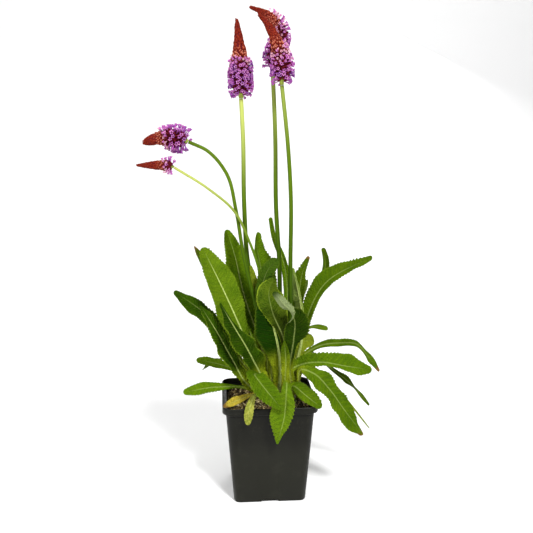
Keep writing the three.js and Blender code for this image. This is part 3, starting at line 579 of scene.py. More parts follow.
# %% Join the compost and give it earth colours
def join_parts(parts):
    """Several (points, faces, value) parts as one."""
    points, faces, values, start = [], [], [], 0
    for part_points, part_faces, part_values in parts:
        points.append(part_points)
        values.append(part_values)
        faces.extend(np.asarray(group) + start for group in part_faces)
        start += len(part_points)
    return np.concatenate(points), faces, np.concatenate(values)


def compost_finish():
    """From near black through bark brown to straw, by each grain's tone and a fine speckle."""
    finish = Finish("compost")
    tone = finish.point_value("tone")
    fine = finish.speckle(0.0012, 4)
    shade = tone * 0.8 + fine * 0.35 - 0.1
    colour = finish.mix(finish.step(shade, 0.0, 0.35), (0.012, 0.009, 0.004), (0.100, 0.066, 0.026))
    colour = finish.mix(finish.step(shade, 0.35, 0.6), colour, (0.36, 0.27, 0.10))
    colour = finish.mix(finish.step(shade, 0.62, 0.9), colour, (0.80, 0.68, 0.38))
    bump = finish.relief(fine, 0.0008, 0.6)
    return finish.shade(
        {"Base Color": colour, "Roughness": 0.9, "Normal": bump, "Specular IOR Level": 0.25}
    )


PEAT_TONE = 0.12
under = (soil_points, soil_faces, np.full(len(soil_points), PEAT_TONE))
points, faces, tones = join_parts([under, *grain_parts])
make_piece("compost", points, faces, {"tone": tones}, compost_finish(), "soil", smooth=False)
print("compost:", len(points), "points")

# %% [markdown]
# ## Paths and the crown
# Leaves and stems all spring from the crown, a low dome of stem base. Each one leaves it square to its
# surface and then runs smoothly through a few known points. The path is made of cubic pieces, because
# they pass exactly through the points that the packed model uses.

# %% Work out paths
SEAT_GAP = 0.35


def smooth_path(knots, start, stations):
    """Points and directions at stations from 0 to 1 along cubic pieces through the knots. Each slope is
    a mean of the straight directions before and after, weighted by the other one's length."""
    knots = np.asarray(knots, float)
    chords = np.diff(knots, axis=0)
    spans = np.linalg.norm(chords, axis=1)
    ways = chords / spans[:, None]
    slopes = np.empty_like(knots)
    slopes[0] = start
    slopes[-1] = ways[-1]
    total = (spans[1:] + spans[:-1])[:, None]
    slopes[1:-1] = (ways[:-1] * spans[1:, None] + ways[1:] * spans[:-1, None]) / total
    along = np.clip(stations, 0, 1) * spans.sum()
    starts = np.concatenate([[0], np.cumsum(spans)])
    piece = np.clip(np.searchsorted(starts, along, side="left") - 1, 0, len(spans) - 1)
    span = spans[piece][:, None]
    t = ((along - starts[piece]) / spans[piece])[:, None]
    a, b, m, n = knots[piece], knots[piece + 1], slopes[piece], slopes[piece + 1]
    point = a * (2 * t**3 - 3 * t**2 + 1) + m * span * (t**3 - 2 * t**2 + t)
    point = point + b * (3 * t**2 - 2 * t**3) + n * span * (t**3 - t**2)
    slope = (a * (6 * t**2 - 6 * t) + b * (6 * t - 6 * t**2)) / span
    slope = slope + m * (3 * t**2 - 4 * t + 1) + n * (3 * t**2 - 2 * t)
    return point, unit(slope)


def crown_seat(turn, ring):
    """A place just above the crown's dome, ring from its axis, and the way out of the dome there."""
    angle = math.radians(turn)
    rise = CROWN_HEIGHT * math.sqrt(1 - (ring / CROWN_RADIUS) ** 2)
    flat = np.array([math.cos(angle), math.sin(angle), 0])
    out = unit(flat * ring / CROWN_RADIUS**2 + np.array([0, 0, rise / CROWN_HEIGHT**2]))
    return np.array([CROWN_X, 0, CROWN_FOOT + rise]) + flat * ring + out * SEAT_GAP, out


print("the highest seat on the crown is", round(float(crown_seat(0, 0)[0][2]), 1), "mm up")

# %% [markdown]
# The crown itself is a knob of old stalk bases. It hardly shows, so it is a dome whose rings swell and
# sink where the stalks press on it, pale green with rusty marks.


# %% Make the crown
def crown_finish():
    """Pale green in two shades with rusty marks."""
    finish = Finish("crown_skin")
    rust = finish.step(finish.speckle(0.004, 3), 0.5, 0.66)
    colour = finish.mix(finish.speckle(0.006, 3), (0.34, 0.42, 0.13), (0.55, 0.58, 0.30))
    colour = finish.mix(rust * 0.7, colour, (0.20, 0.09, 0.045))
    bump = finish.relief(finish.speckle(0.0015, 3), 0.0008, 0.6)
    return finish.shade({"Base Color": colour, "Roughness": 0.6, "Normal": bump})


heights = np.sin(np.linspace(0, 1.5, 22))[:, None]
around = np.linspace(0, 2 * np.pi, 72, endpoint=False)[None, :]
swell = 1 - 0.05 * np.abs(np.sin(around * 6.5 + heights * 5)) * (1 - heights) - 0.02
radius = CROWN_RADIUS * np.sqrt(1 - heights**2) * swell
dome_height = CROWN_FOOT + CROWN_HEIGHT * heights + 0 * around
dome = [CROWN_X + np.cos(around) * radius, np.sin(around) * radius, dome_height]
crown_points, crown_faces = closed_rings(np.stack(dome, -1))
make_piece("crown_knob", crown_points, crown_faces, {}, crown_finish(), "crown")
print("crown top at", round(crown_points[:, 2].max(), 1), "mm")

# %% [markdown]
# ## Leaves
# A primrose leaf is a long blade that narrows into a winged stalk. A pale, thick midrib runs down it,
# side veins leave it every few millimetres and bend towards the tip, and the blade bulges between them.
# The edge is toothed and wavy. A sheet with a picture of a leaf would look flat, so each leaf is a
# closed surface of two parameters: how far along the midrib, and how far across from it.

# %% List the leaves
# Where a leaf runs, in degrees and millimetres:
# - turn, ring: its seat on the crown, as an angle and a distance from the crown's axis
# - rib: the points that its midrib passes through, with the tip last
# - face, tip: the way its upper side looks at the stalk and at the tip
# - twist: two stations on the midrib, and how far the leaf turns about it between them
# How wide it is:
# - left, right: half its width at the stations 0.3, 0.4 and so on to 1 on each side, or half for both
# - width, belly: for a leaf without such lists, its full width and the station where it is widest
# - stalk: its width near the crown
# - rib_width: how far from its middle the midrib's ridge reaches
# How it bends:
# - fold, cup: how many degrees the halves fold up, and how many more the edges curl on
# - wave: height of the waves along its edge
# How it looks, mostly as shares from 0 to 1:
# - tint, light: its greens, and how much lighter or darker they are painted for the light or shade on it
# - dusk: how much painted shade darkens it round its middle
# - under: how much paler its underside is
# - glow: how bright its midrib is; rim: how strong the painted highlight along its edge is
# - pale: station that the pale colour of the stalk reaches
# - wither: part of the tip that has withered
USUAL = dict(stalk=3.8, rib_width=1.35, twist=(0, 1, 0), cup=6, wave=0.8, light=1, dusk=0, under=0.08,
             glow=0.28, rim=0.25, pale=0.42, wither=0)
LEAVES = [
    dict(name="left_broad", turn=194, ring=13, rib=[(-28, -8, 169), (-46, -6, 210), (-62, -3, 243)],
         face=(0.3, -1, 0.3), tip=(0.3, -1, 0.35), left=[8, 12, 16.5, 18, 15, 12.3, 10, 4.5],
         right=[4.5, 5.5, 8, 12.5, 14, 13, 9.5, 4], fold=6, cup=12, tint="bright", glow=1),
    dict(name="left_hidden", turn=152, ring=13, rib=[(-30, 17, 166), (-56, 24, 212), (-71, 26, 241)],
         face=(0.6, -0.5, 0.5), tip=(0.6, -0.5, 0.5), width=18, belly=0.68, fold=10, tint="mid",
         wither=0.03),
    dict(name="left_upright", turn=160, ring=9.5,
         rib=[(-5, 9, 138), (-23, 18, 195), (-32, 21, 235), (-39, 22, 257)], face=(0.35, -1, 0.2),
         tip=(0.25, -1, 0.2), left=[4, 6, 9, 12, 13, 12.8, 9, 3],
         right=[4, 5.5, 8, 10, 10.6, 9.7, 7, 2.5], stalk=6, fold=14, cup=8, wave=0.6, tint="fresh",
         light=1.15, glow=0.8),
    dict(name="left_inner", turn=190, ring=9.5, rib=[(-2, -1, 151), (-11, -3, 192), (-17, -5, 226)],
         face=(0.2, -1, 0.3), tip=(0.5, -0.8, 0.5), left=[3, 3, 3.5, 4, 4.5, 4.5, 3.5, 1.2],
         right=[3, 3, 3.5, 4, 5, 5, 4.5, 1.2], stalk=5, fold=12, tint="lime"),
    dict(name="back_upright", turn=114, ring=9.5,
         rib=[(5, 22, 155), (-6, 30, 223), (-9, 33, 241), (-7, 34, 253)], face=(0.3, -1, 0.2),
         tip=(0.6, -0.8, 0.1), left=[4, 5, 6, 6.5, 6.5, 6, 4, 3], right=[4, 6, 8, 10, 12, 12, 7, 3],
         stalk=6, fold=12, cup=16, tint="fresh", light=1.15),
    dict(name="grey_curl", turn=232, ring=9.5,
         rib=[(1, -14, 144), (-7, -18, 204), (-1, -19, 224), (8, -19, 234)], face=(-0.3, -1, 0.1),
         tip=(-0.4, -0.9, 0), half=[3, 3.5, 4.5, 5, 5.5, 6.7, 7, 4.5], stalk=6, fold=8, cup=-14,
         tint="slate"),
    dict(name="centre_folded", turn=288, ring=9.5,
         rib=[(15.6, -19, 132), (14.2, -24, 155), (1.5, -27, 189), (-1, -27, 204), (3, -25, 217)],
         face=(-0.1, 1, 0.2), tip=(-0.2, 0.9, 0.3), left=[3, 4, 6, 10, 14, 16, 13, 3],
         right=[3, 3.5, 3.5, 4, 7, 12, 10, 2], stalk=5, fold=8, cup=10, wave=1.2, tint="dusky",
         light=0.95, dusk=0.7, under=0, glow=0.3, rim=1, pale=0.45),
    dict(name="centre_dark", turn=308, ring=13,
         rib=[(19, -24, 133), (22, -30, 159), (22, -35, 180), (18, -39, 189), (11, -42, 197),
              (2, -44, 208)],
         face=(0, -1, 0.25), tip=(0, -1, 0.25), twist=(0.7, 0.84, -150),
         left=[5, 7, 9, 10, 8, 5, 4.6, 2.4], right=[3, 3, 4, 12.5, 12.5, 5.4, 4.6, 2.4], stalk=7,
         fold=6, cup=8, tint="deep", light=0.65, under=0.75, pale=0.45),
    dict(name="edge_on", turn=80, ring=9.5,
         rib=[(19.5, 10.5, 158), (17, 18, 225), (7, 20, 252), (4, 20, 269)], face=(-0.3, -0.9, 0.2),
         tip=(-0.3, -0.9, 0.2), half=[3, 3, 3.4, 3.8, 3.8, 3.2, 2.4, 2], fold=14, tint="fresh",
         light=1.5),
    dict(name="back_pointed", turn=54, ring=9.5,
         rib=[(29, 16, 146), (33, 22, 191), (36, 25, 210), (43, 28, 229)], face=(-0.3, -1, 0.2),
         tip=(-0.4, -0.9, 0.2), left=[3, 4, 5, 6, 7.5, 9.5, 5, 1.4], right=[3, 4, 5, 5, 5, 5.5, 3, 1.8],
         stalk=6, fold=10, tint="mid", wither=0.02),
    dict(name="right_pale_rib", turn=346, ring=9.5,
         rib=[(26, -1, 120), (33, 2, 145), (35, 4, 164), (32, 6, 189), (25, 6, 221)],
         face=(0.5, 0.8, 0.2), tip=(0.6, 0.8, 0.2), left=[3, 3, 2.5, 2.2, 2.2, 2, 1.5, 1.2],
         right=[7, 7.5, 8.5, 9, 9, 8, 5, 1.5], stalk=11, fold=6, rib_width=2.4, tint="grey", light=1.9,
         glow=1, pale=0.8),
    dict(name="back_curl", turn=64, ring=13,
         rib=[(39, 36, 151), (56, 44, 191), (63, 46, 220), (60, 45, 235)], face=(-0.3, -0.9, 0.3),
         tip=(-0.3, -0.9, 0.3), left=[2, 2, 2, 2.2, 2.6, 2.8, 2.6, 2],
         right=[2, 2, 2, 2.4, 3.4, 4.6, 4.4, 2.4], fold=16, cup=20, tint="mid"),
    dict(name="right_arching", turn=24, ring=9.5, rib=[(34, 12, 150), (57, 8, 205), (100, -4, 233)],
         face=(-0.3, -1, 0.4), tip=(-0.1, -1, 0.7), left=[5, 6.5, 8, 10, 10.4, 8.5, 5.1, 1.5],
         right=[3.5, 4.2, 5.1, 5, 5.8, 5.5, 4.6, 3.5], stalk=7, fold=12, cup=8, tint="fresh", light=0.9),
    dict(name="back_bluish", turn=86, ring=13, rib=[(20, 30, 140), (33, 38, 183), (44, 40, 203)],
         face=(-0.2, -0.7, 0.7), tip=(-0.1, -0.7, 0.7), width=15, belly=0.7, fold=10, tint="grey"),
    dict(name="right_small", turn=28, ring=13,
         rib=[(33, 17, 137), (38, 22, 154), (45, 23, 157), (63, 24, 155)], face=(-0.2, -0.7, 0.7),
         tip=(0.2, -0.7, 0.7), half=[1.3, 1.3, 1.3, 1.3, 1.3, 1.6, 3, 2.6], stalk=2.4, fold=8, wave=0.3,
         tint="bright"),
    dict(name="right_round", turn=43, ring=13,
         rib=[(31, 17, 121), (35, 24, 135), (40, 28, 141), (50, 30, 141)], face=(-0.3, -0.9, 0.4),
         tip=(0, -0.9, 0.5), half=[2, 2, 2.5, 4, 6, 7.8, 7.6, 6], stalk=3, fold=8, wave=0.3, tint="lime"),
    dict(name="right_ruffled", turn=2, ring=13,
         rib=[(38, 9, 133), (51, 12, 140), (75, 13, 143), (89, 13, 142), (104, 10, 126), (113, 8, 114)],
         face=(-0.4, -0.8, 0.7), tip=(0.6, -0.8, 0.3), left=[2.4, 2.8, 3.9, 4.4, 3.4, 2.3, 4, 1.5],
         right=[2.2, 2.5, 3.5, 3.8, 3.3, 2.3, 3.6, 1.5], fold=8, wave=1.4, tint="fresh", wither=0.03),
    dict(name="right_broad", turn=336, ring=13,
         rib=[(22.6, -13, 125.4), (33, -14, 130.5), (51, -16, 132.5), (73, -18, 129), (99, -20, 125)],
         face=(-0.4, -0.9, 0.6), tip=(0.2, -0.9, 0.6), left=[6, 8.7, 9.1, 9.4, 10.6, 11, 6.8, 3],
         right=[3.2, 3.8, 4.6, 3.8, 3.8, 6, 7.2, 3.5], stalk=8, fold=8, wave=1.3, tint="fresh",
         light=1.1),
    dict(name="right_twisted", turn=10, ring=16,
         rib=[(33, 9, 121), (51, 9, 127), (66, 6, 117), (82, 0, 105), (101, -4, 83)],
         face=(-0.3, -0.5, 0.8), tip=(0.6, -0.7, 0.3), half=[1.5, 1.5, 1.7, 2.6, 3.9, 1.3, 2.4, 1.3],
         fold=10, tint="mid"),
    dict(name="right_hanging", turn=324, ring=16,
         rib=[(32, -23, 128), (42, -27, 125), (56, -31, 111), (69, -35, 93), (88, -38, 67)],
         face=(0.1, -0.9, 0.6), tip=(0.5, -0.9, 0.3), left=[3.5, 6.2, 9.5, 7, 9.3, 7.7, 3.2, 1],
         right=[3.8, 9.5, 10.5, 8.5, 9.5, 12, 9.5, 2], fold=6, wave=1.6, tint="fresh", wither=0.02),
    dict(name="right_thin", turn=33, ring=16,
         rib=[(40, 19, 118), (66, 22, 100), (89, 20, 72), (107, 18, 49)], face=(0.1, -0.4, 0.8),
         tip=(0.7, -0.4, 0.5), half=[1.3, 1.5, 1.6, 1.7, 1.8, 1.7, 1.4, 0.8], stalk=2.6, fold=12,
         tint="lime"),
    dict(name="front_right_small", turn=302, ring=16,
         rib=[(23, -27, 113), (33, -36, 107), (47, -43, 97)], face=(0.1, -0.7, 0.8),
         tip=(0.3, -0.8, 0.6), left=[3.4, 6, 8.4, 9.6, 9.8, 9, 6.8, 4],
         right=[1.5, 2.5, 5, 6, 6.3, 5.8, 4.4, 3], fold=6, cup=-6, wave=0.2, tint="mid", light=1.3),
    dict(name="front_hanging", turn=277, ring=16,
         rib=[(15, -37, 119), (13.5, -48, 110), (12, -51, 95), (5, -53, 67)], face=(0.1, -0.8, 0.7),
         tip=(0, -1, 0.1), left=[2.5, 4, 6.5, 8.3, 7.6, 5.2, 2.6, 0.8],
         right=[2.5, 4, 6, 12.5, 14, 10.8, 6, 0.8], fold=8, tint="bright", light=1.1),
    dict(name="front_kinked", turn=254, ring=13,
         rib=[(-5.5, -30, 124), (-15, -42, 130), (-10.5, -48, 125), (-1, -54, 114), (10, -57, 101)],
         face=(0.3, 0.5, 0.9), tip=(-0.2, -0.9, 0.5), left=[2.5, 4, 7, 8.5, 9.3, 8.8, 6.5, 1],
         right=[2.5, 4, 7, 9, 10.5, 9.8, 6, 1], fold=6, cup=4, wave=0.4, tint="fresh"),
    dict(name="left_diagonal_outer", turn=212, ring=13,
         rib=[(-20, -20, 112), (-36, -25, 141.5), (-50, -28, 169), (-64, -29, 193)],
         face=(0.6, -0.8, 0.4), tip=(0.5, -0.8, 0.3), left=[4, 6.5, 9, 10.7, 9, 7, 5, 1],
         right=[5, 6, 6, 5.5, 5, 5.3, 4.5, 1], stalk=7, fold=6, wave=1.3, tint="deep", light=1.1,
         glow=0.75, rim=0.6, pale=0.5),
    dict(name="left_diagonal_inner", turn=230, ring=13,
         rib=[(-11, -22, 129), (-23, -31, 155), (-34, -35, 175), (-46, -37, 197)],
         face=(0.4, -0.9, 0.3), tip=(0.5, -0.8, 0.4), left=[7, 9.5, 10.5, 12.5, 13, 11, 6.5, 1],
         right=[8, 11.5, 9, 8.6, 5.5, 2, 1.3, 0.9], stalk=8, fold=8, wave=2.2, tint="deep", light=0.95,
         glow=0.75, rim=0.5, pale=0.46),
    dict(name="left_dark", turn=173, ring=13, rib=[(-27, 3, 130), (-60, 7, 176), (-90, 4, 200)],
         face=(0.5, -0.7, 0.6), tip=(0.3, -0.8, 0.6), left=[3, 5.5, 8, 10, 11, 11.5, 8.5, 2.5],
         right=[3, 4, 5.5, 7, 7.5, 7, 5, 2], fold=8, tint="deep", light=1.15),
    dict(name="left_small", turn=172, ring=16, rib=[(-20, 8, 111), (-45, 10, 123.5), (-70, 10, 129.5)],
         face=(0.2, -0.7, 0.7), tip=(0.2, -0.8, 0.7), half=[1.8, 2, 2.2, 3.5, 4.5, 5.1, 4.4, 2.6],
         stalk=3.2, fold=6, wave=0.7, tint="bright", light=1.35),
    dict(name="left_low", turn=198, ring=16, rib=[(-18, -8, 104), (-50, -13, 109), (-82, -16, 105.5)],
         face=(0.1, -0.8, 0.7), tip=(0.1, -0.8, 0.6), half=[1.5, 1.6, 2.8, 4.2, 5.5, 5.9, 4.7, 2.6],
         stalk=3.2, fold=6, wave=0.7, tint="fresh", light=1.25),
    dict(name="yellow", turn=226, ring=16, rib=[(-14, -22, 104), (-29, -32, 103), (-44, -42, 100)],
         face=(0.1, -0.6, 0.9), tip=(0, -0.8, 0.7), half=[1.5, 1.8, 2.3, 3.2, 3.8, 4.1, 3.2, 1.2],
         stalk=3, fold=8, tint="yellow", wither=0.06),
    dict(name="front_left_small", turn=250, ring=16,
         rib=[(-8, -36, 111), (-16, -45, 110), (-20, -49, 101), (-22, -50, 85)], face=(0.2, -0.5, 0.9),
         tip=(-0.1, -1, 0.1), half=[1.4, 1.4, 1.6, 2.2, 3.3, 4.1, 3.9, 1.7], stalk=2.8, fold=6,
         wave=0.4, tint="fading"),
    dict(name="centre_white_rib", turn=258, ring=9.5,
         rib=[(11, -15, 123), (9, -19, 146), (4, -22, 169), (-6.5, -22.6, 197)], face=(0, -1, 0.2),
         tip=(0.1, -1, 0.1), left=[8, 10, 14, 18, 20, 17, 12, 4], right=[3.5, 3.5, 4, 5, 7, 9, 7, 3],
         stalk=12, fold=6, rib_width=2.1, tint="shade", light=0.55, glow=1, pale=0.58),
    dict(name="centre_narrow", turn=284, ring=13, rib=[(15, -23, 118), (15, -29, 140), (13, -33, 160)],
         face=(-0.3, -1, 0.2), tip=(-0.3, -1, 0.2), width=9, belly=0.66, fold=12, wave=1.2, tint="mid",
         light=0.9, pale=0.95),
    dict(name="rear_left_low", turn=148, ring=16, rib=[(-18, 24, 112), (-44, 40, 120), (-66, 54, 104)],
         face=(0.2, -0.2, 1), tip=(-0.2, 0.2, 1), width=17, belly=0.62, fold=8, wave=1.4, tint="mid"),
    dict(name="rear_left", turn=128, ring=13, rib=[(-8, 32, 130), (-28, 56, 165), (-50, 78, 172)],
         face=(0.4, -0.6, 0.8), tip=(0.1, -0.1, 1), width=24, belly=0.66, fold=8, wave=1.6, tint="fresh"),
    dict(name="rear_low", turn=122, ring=16, rib=[(-4, 32, 110), (-12, 54, 112), (-20, 76, 92)],
         face=(0.1, -0.3, 1), tip=(-0.1, 0.4, 0.9), width=16, belly=0.62, fold=8, wave=1.4, tint="deep"),
    dict(name="rear_middle", turn=106, ring=13, rib=[(6, 34, 135), (2, 60, 172), (-4, 88, 180)],
         face=(0.1, -0.8, 0.7), tip=(0, -0.1, 1), width=25, belly=0.66, fold=8, wave=1.6, tint="mid"),
    dict(name="rear_right", turn=95, ring=16, rib=[(14, 36, 112), (18, 62, 120), (20, 88, 104)],
         face=(0, -0.3, 1), tip=(0.1, 0.3, 1), width=19, belly=0.64, fold=8, wave=1.6, tint="fresh"),
    dict(name="rear_right_low", turn=66, ring=16, rib=[(28, 34, 112), (44, 58, 120), (56, 80, 106)],
         face=(-0.1, -0.3, 1), tip=(0.2, 0.2, 1), width=18, belly=0.62, fold=8, wave=1.4, tint="mid"),
]
LEAVES = [{**USUAL, **leaf} for leaf in LEAVES]
print("leaves:", len(LEAVES))

# %% [markdown]
# The leaf's shape comes in layers. A path gives the midrib, a width law gives the outline with its
# teeth, and small heights raise the bulges between the side veins and the waves of the edge. The midrib
# stands out on the underside as a rounded ridge.

# %% Work out a leaf's outline
TIP_STEPS = 8
TIP_HALF = 1.2
LEAST_HALF = 0.25
TOOTH_EVERY = 3.1
# Half-widths between which the stalk turns into blade
STALK_HALF = 1.6
BLADE_HALF = 5


def half_list(leaf, side):
    """The listed half-widths of one side, or None for a leaf without lists."""
    return leaf.get(side, leaf.get("half"))


def plain_half(leaf, s):
    """Half the width of a leaf without lists: s over belly to a power, times the rest over the rest to
    a power, and never narrower than the stalk."""
    belly = leaf["belly"]
    rise = (s / belly) ** (2.4 * belly)
    fall = (np.maximum(1 - s, 0) / (1 - belly)) ** (2.4 * (1 - belly))
    stalk = leaf["stalk"] * np.minimum(1, (1 - s) * 4 + 0.25)
    return np.maximum(stalk, leaf["width"] * rise * fall) / 2


def listed_half(leaf, side, s):
    """Half-width on one side of the midrib by cubic pieces through the stalk's and the listed values,
    with half the step between the neighbours as the slope at each value."""
    stalk = leaf["stalk"] / 2
    values = np.array([stalk * 0.6, stalk, stalk, *half_list(leaf, side)])
    slopes = np.gradient(values)
    piece = np.clip((s * 10).astype(int), 0, 9)
    t = s * 10 - piece
    a, b, m, n = values[piece], values[piece + 1], slopes[piece], slopes[piece + 1]
    half = a * (2 * t**3 - 3 * t**2 + 1) + m * (t**3 - 2 * t**2 + t)
    return half + b * (3 * t**2 - 2 * t**3) + n * (t**3 - t**2)


def blade_half(leaf, side, s, length):
    """Half-width on one side with a round tip: times the root of 1 - (1 - rest / r) squared, where rest
    is the length still to go and r the half-width that the blade would end with."""
    half = listed_half(leaf, side, s) if half_list(leaf, side) else plain_half(leaf, s)
    short = np.clip(1 - (1 - s) * length / max(half[-1], TIP_HALF), 0, 1)
    return np.maximum(half * np.sqrt(1 - short**2), LEAST_HALF)


def toothed_edge(plain, run, phases):
    """The outline with slow swells, and with teeth that rise for three quarters of their length."""
    blade = ease(plain, STALK_HALF, BLADE_HALF)
    swell = 0.035 * np.sin(run / 9 + phases[0]) + 0.025 * np.sin(run / 4.3 + phases[1])
    saw = (run / TOOTH_EVERY + phases[2] + 0.25 * np.sin(run / 7 + phases[1])) % 1
    tooth = np.where(saw < 0.75, saw / 0.75, (1 - saw) / 0.25)
    tooth = (tooth - 0.5) * (1.1 + 0.6 * np.sin(run / 11 + phases[3]))
    return plain * (1 + swell * blade) + tooth * blade * min(1.0, plain.max() / 8)


widest = max(max(half_list(leaf, side) or [0]) for leaf in LEAVES for side in ("left", "right"))
print("the widest listed half-width is", widest, "mm")


# %% Lay out a leaf's midrib
def leaf_length(leaf):
    """Length of the midrib from the crown to the tip, over 200 points."""
    seat, out = crown_seat(leaf["turn"], leaf["ring"])
    spine = smooth_path([seat, *leaf["rib"]], out, np.linspace(0, 1, 200))[0]
    return np.linalg.norm(np.diff(spine, axis=0), axis=1).sum()


def leaf_stations(leaf, length):
    """Stations from 0 to 1, about a millimetre apart, and closer on the round tip."""
    ends = [half_list(leaf, side)[-1] for side in ("left", "right") if half_list(leaf, side)]
    tip = max([TIP_HALF, *ends]) / length
    stalk = np.linspace(0, 0.2, 12)[:-1]
    blade = np.linspace(0.2, 1 - tip, int(length))[:-1]
    round_end = 1 - tip * (1 - np.sin(np.linspace(0, np.pi / 2, TIP_STEPS)))
    return np.concatenate([stalk, blade, round_end])


def leaf_frame(leaf, s):
    """Points of the midrib, the way across the blade and the way up from it. The way across is square
    to the midrib and to the side the blade looks, and near the crown it turns to run round the crown.
    A twisted leaf turns on about its midrib between two stations."""
    seat, out = crown_seat(leaf["turn"], leaf["ring"])
    point, way = smooth_path([seat, *leaf["rib"]], out, s)
    at_stalk = unit(np.array(leaf["face"], float))
    at_tip = unit(np.array(leaf["tip"], float))
    face = at_stalk * (1 - s)[:, None] + at_tip * s[:, None]
    across = unit(np.cross(way, face))
    angle = math.radians(leaf["turn"])
    around = np.array([-math.sin(angle), math.cos(angle), 0])
    share = np.clip(1 - s / 0.25, 0, 1)[:, None]
    around = around * np.where((across @ around) < 0, -1, 1)[:, None]
    across = across * (1 - share) + around * share
    across = unit(across - way * (across * way).sum(1, keepdims=True))
    up = unit(np.cross(across, way))
    low, high, degrees = leaf["twist"]
    turn = np.radians(degrees * ease(s, low, high))[:, None]
    return point, across * np.cos(turn) + up * np.sin(turn), up * np.cos(turn) - across * np.sin(turn)


lengths = [leaf_length(leaf) for leaf in LEAVES]
print("leaves from", round(min(lengths)), "to", round(max(lengths)), "mm long")

# %% Raise a leaf's surface
VEIN_EVERY = 5.2
ACROSS = 21
# Places across the blade, -1 at the left edge and 1 at the right one, closer at the midrib
SIDE = np.linspace(-1, 1, ACROSS)
SIDE = (np.sign(SIDE) * np.abs(SIDE) ** 1.3)[None, :]
REACH = np.abs(SIDE)
STALK_THICKNESS = 1.05
BLADE_THICKNESS = 0.3


def both(values):
    """Values for the upper side, and for the lower side in the opposite order."""
    return np.concatenate([values, values[:, ::-1]], 1)


def vein_count(run, x):
    """Counts the side veins along the blade: each lies at a whole number, bends towards the tip, and on
    the left stands half a step from those on the right."""
    vein = (run[:, None] - 0.45 * np.abs(x) - 0.25 * REACH * np.abs(x)) / VEIN_EVERY
    return vein + np.where(SIDE < 0, 0.5, 0)


def blade_height(leaf, run, x, vein, blade, phases):
    """Height over the midrib: the halves fold up and curl on by the cup, the blade bulges between the
    side veins, its edge waves, and all of it rocks slowly to and fro."""
    y = np.abs(x) * np.tan(np.radians(leaf["fold"] + leaf["cup"] * REACH * blade))
    bulge = np.abs(np.sin(np.pi * vein)) ** 0.8
    inner = 1 - np.exp(-((x / 2.2) ** 2))
    y = y + 0.5 * bulge * inner * (1 - REACH**3) * blade
    for k, sign in ((8, -1), (9, 1)):
        beat = np.sin(run / 3.6 + phases[k]) + 0.6 * np.sin(run / 2.1 + phases[k - 6])
        on_side = np.clip(SIDE * sign, 0, 1) ** 2.5
        y = y + 0.8 * leaf["wave"] * beat[:, None] * on_side * blade
    return y + 0.05 * x * np.sin(run / 15 + phases[10])[:, None] * blade


def leaf_values(leaf, s, ragged, blade, rib, vein):
    """The numbers that the leaf finish reads. ragged is the station with small waves on it, so that a
    withered tip ends unevenly."""
    on = np.ones_like(rib)
    wither = leaf["wither"]
    # The light factor and the darkening round the middle are painted light and shade
    light = leaf["light"] * (1 - leaf["dusk"] * ease(s, 0.85, 0.55) * ease(s, 0.25, 0.4))
    return {
        "along": both(s[:, None] * on),
        "rib": both(rib),
        "vein": both(vein),
        "upper": np.concatenate([on, on * 0], 1),
        "glow": both(on * leaf["glow"]),
        "light": both(on * light[:, None]),
        "under": both(on * leaf["under"] * ease(s, 1.0, 0.92)[:, None]),
        # A painted highlight along the edge of the blade
        "rim": both(leaf["rim"] * ease(REACH, 0.86, 0.97) * blade),
        "pale": both(on * ease(s, leaf["pale"], leaf["pale"] * 0.45)[:, None]),
        "wither": both(ease(ragged, 1 - wither * 1.5, 1.001 - wither * 0.5) * (wither > 0)),
    }


def leaf_shape(leaf, length, seed):
    """Rings of points round the leaf, upper side from left to right and lower side back, with the
    values the leaf finish reads. The stalk is stout and the blade thin, with a groove over the midrib
    and a ridge under it."""
    phases = np.random.default_rng(seed).uniform(0, 6.3, 12)
    s = leaf_stations(leaf, length)
    run = s * length
    point, across, up = leaf_frame(leaf, s)
    left = toothed_edge(blade_half(leaf, "left", s, length), run, phases[:4])
    right = toothed_edge(blade_half(leaf, "right", s, length), run, phases[4:8])
    edge = np.where(SIDE < 0, left[:, None], right[:, None])
    blade = ease(edge, STALK_HALF, BLADE_HALF)
    x = edge * SIDE
    vein = vein_count(run, x)
    y = blade_height(leaf, run, x, vein, blade, phases)
    rib = np.abs(x) / (leaf["rib_width"] * (1 - 0.72 * s))[:, None]
    ridge = np.exp(-(rib**2))
    body = STALK_THICKNESS + (BLADE_THICKNESS - STALK_THICKNESS) * np.clip(s / 0.45, 0, 1)
    thick = body[:, None] * (1 - 0.5 * REACH**4) * np.minimum(1, edge / 1.2)
    upper = y + thick - 0.35 * ridge * blade
    lower = y - thick - (1.1 - 0.8 * s)[:, None] * ridge * blade
    ring_x = both(x)
    ring_y = np.concatenate([upper, lower[:, ::-1]], 1)
    rings = point[:, None] + across[:, None] * ring_x[..., None] + up[:, None] * ring_y[..., None]
    ragged = s[:, None] + 0.012 * np.sin(run / 1.7 + phases[0])[:, None] + 0.02 * REACH * np.ones_like(x)
    return rings, leaf_values(leaf, s, ragged, blade, rib, vein)


print("the broad leaf has", len(leaf_shape(LEAVES[0], lengths[0], 100)[0]), "rings")
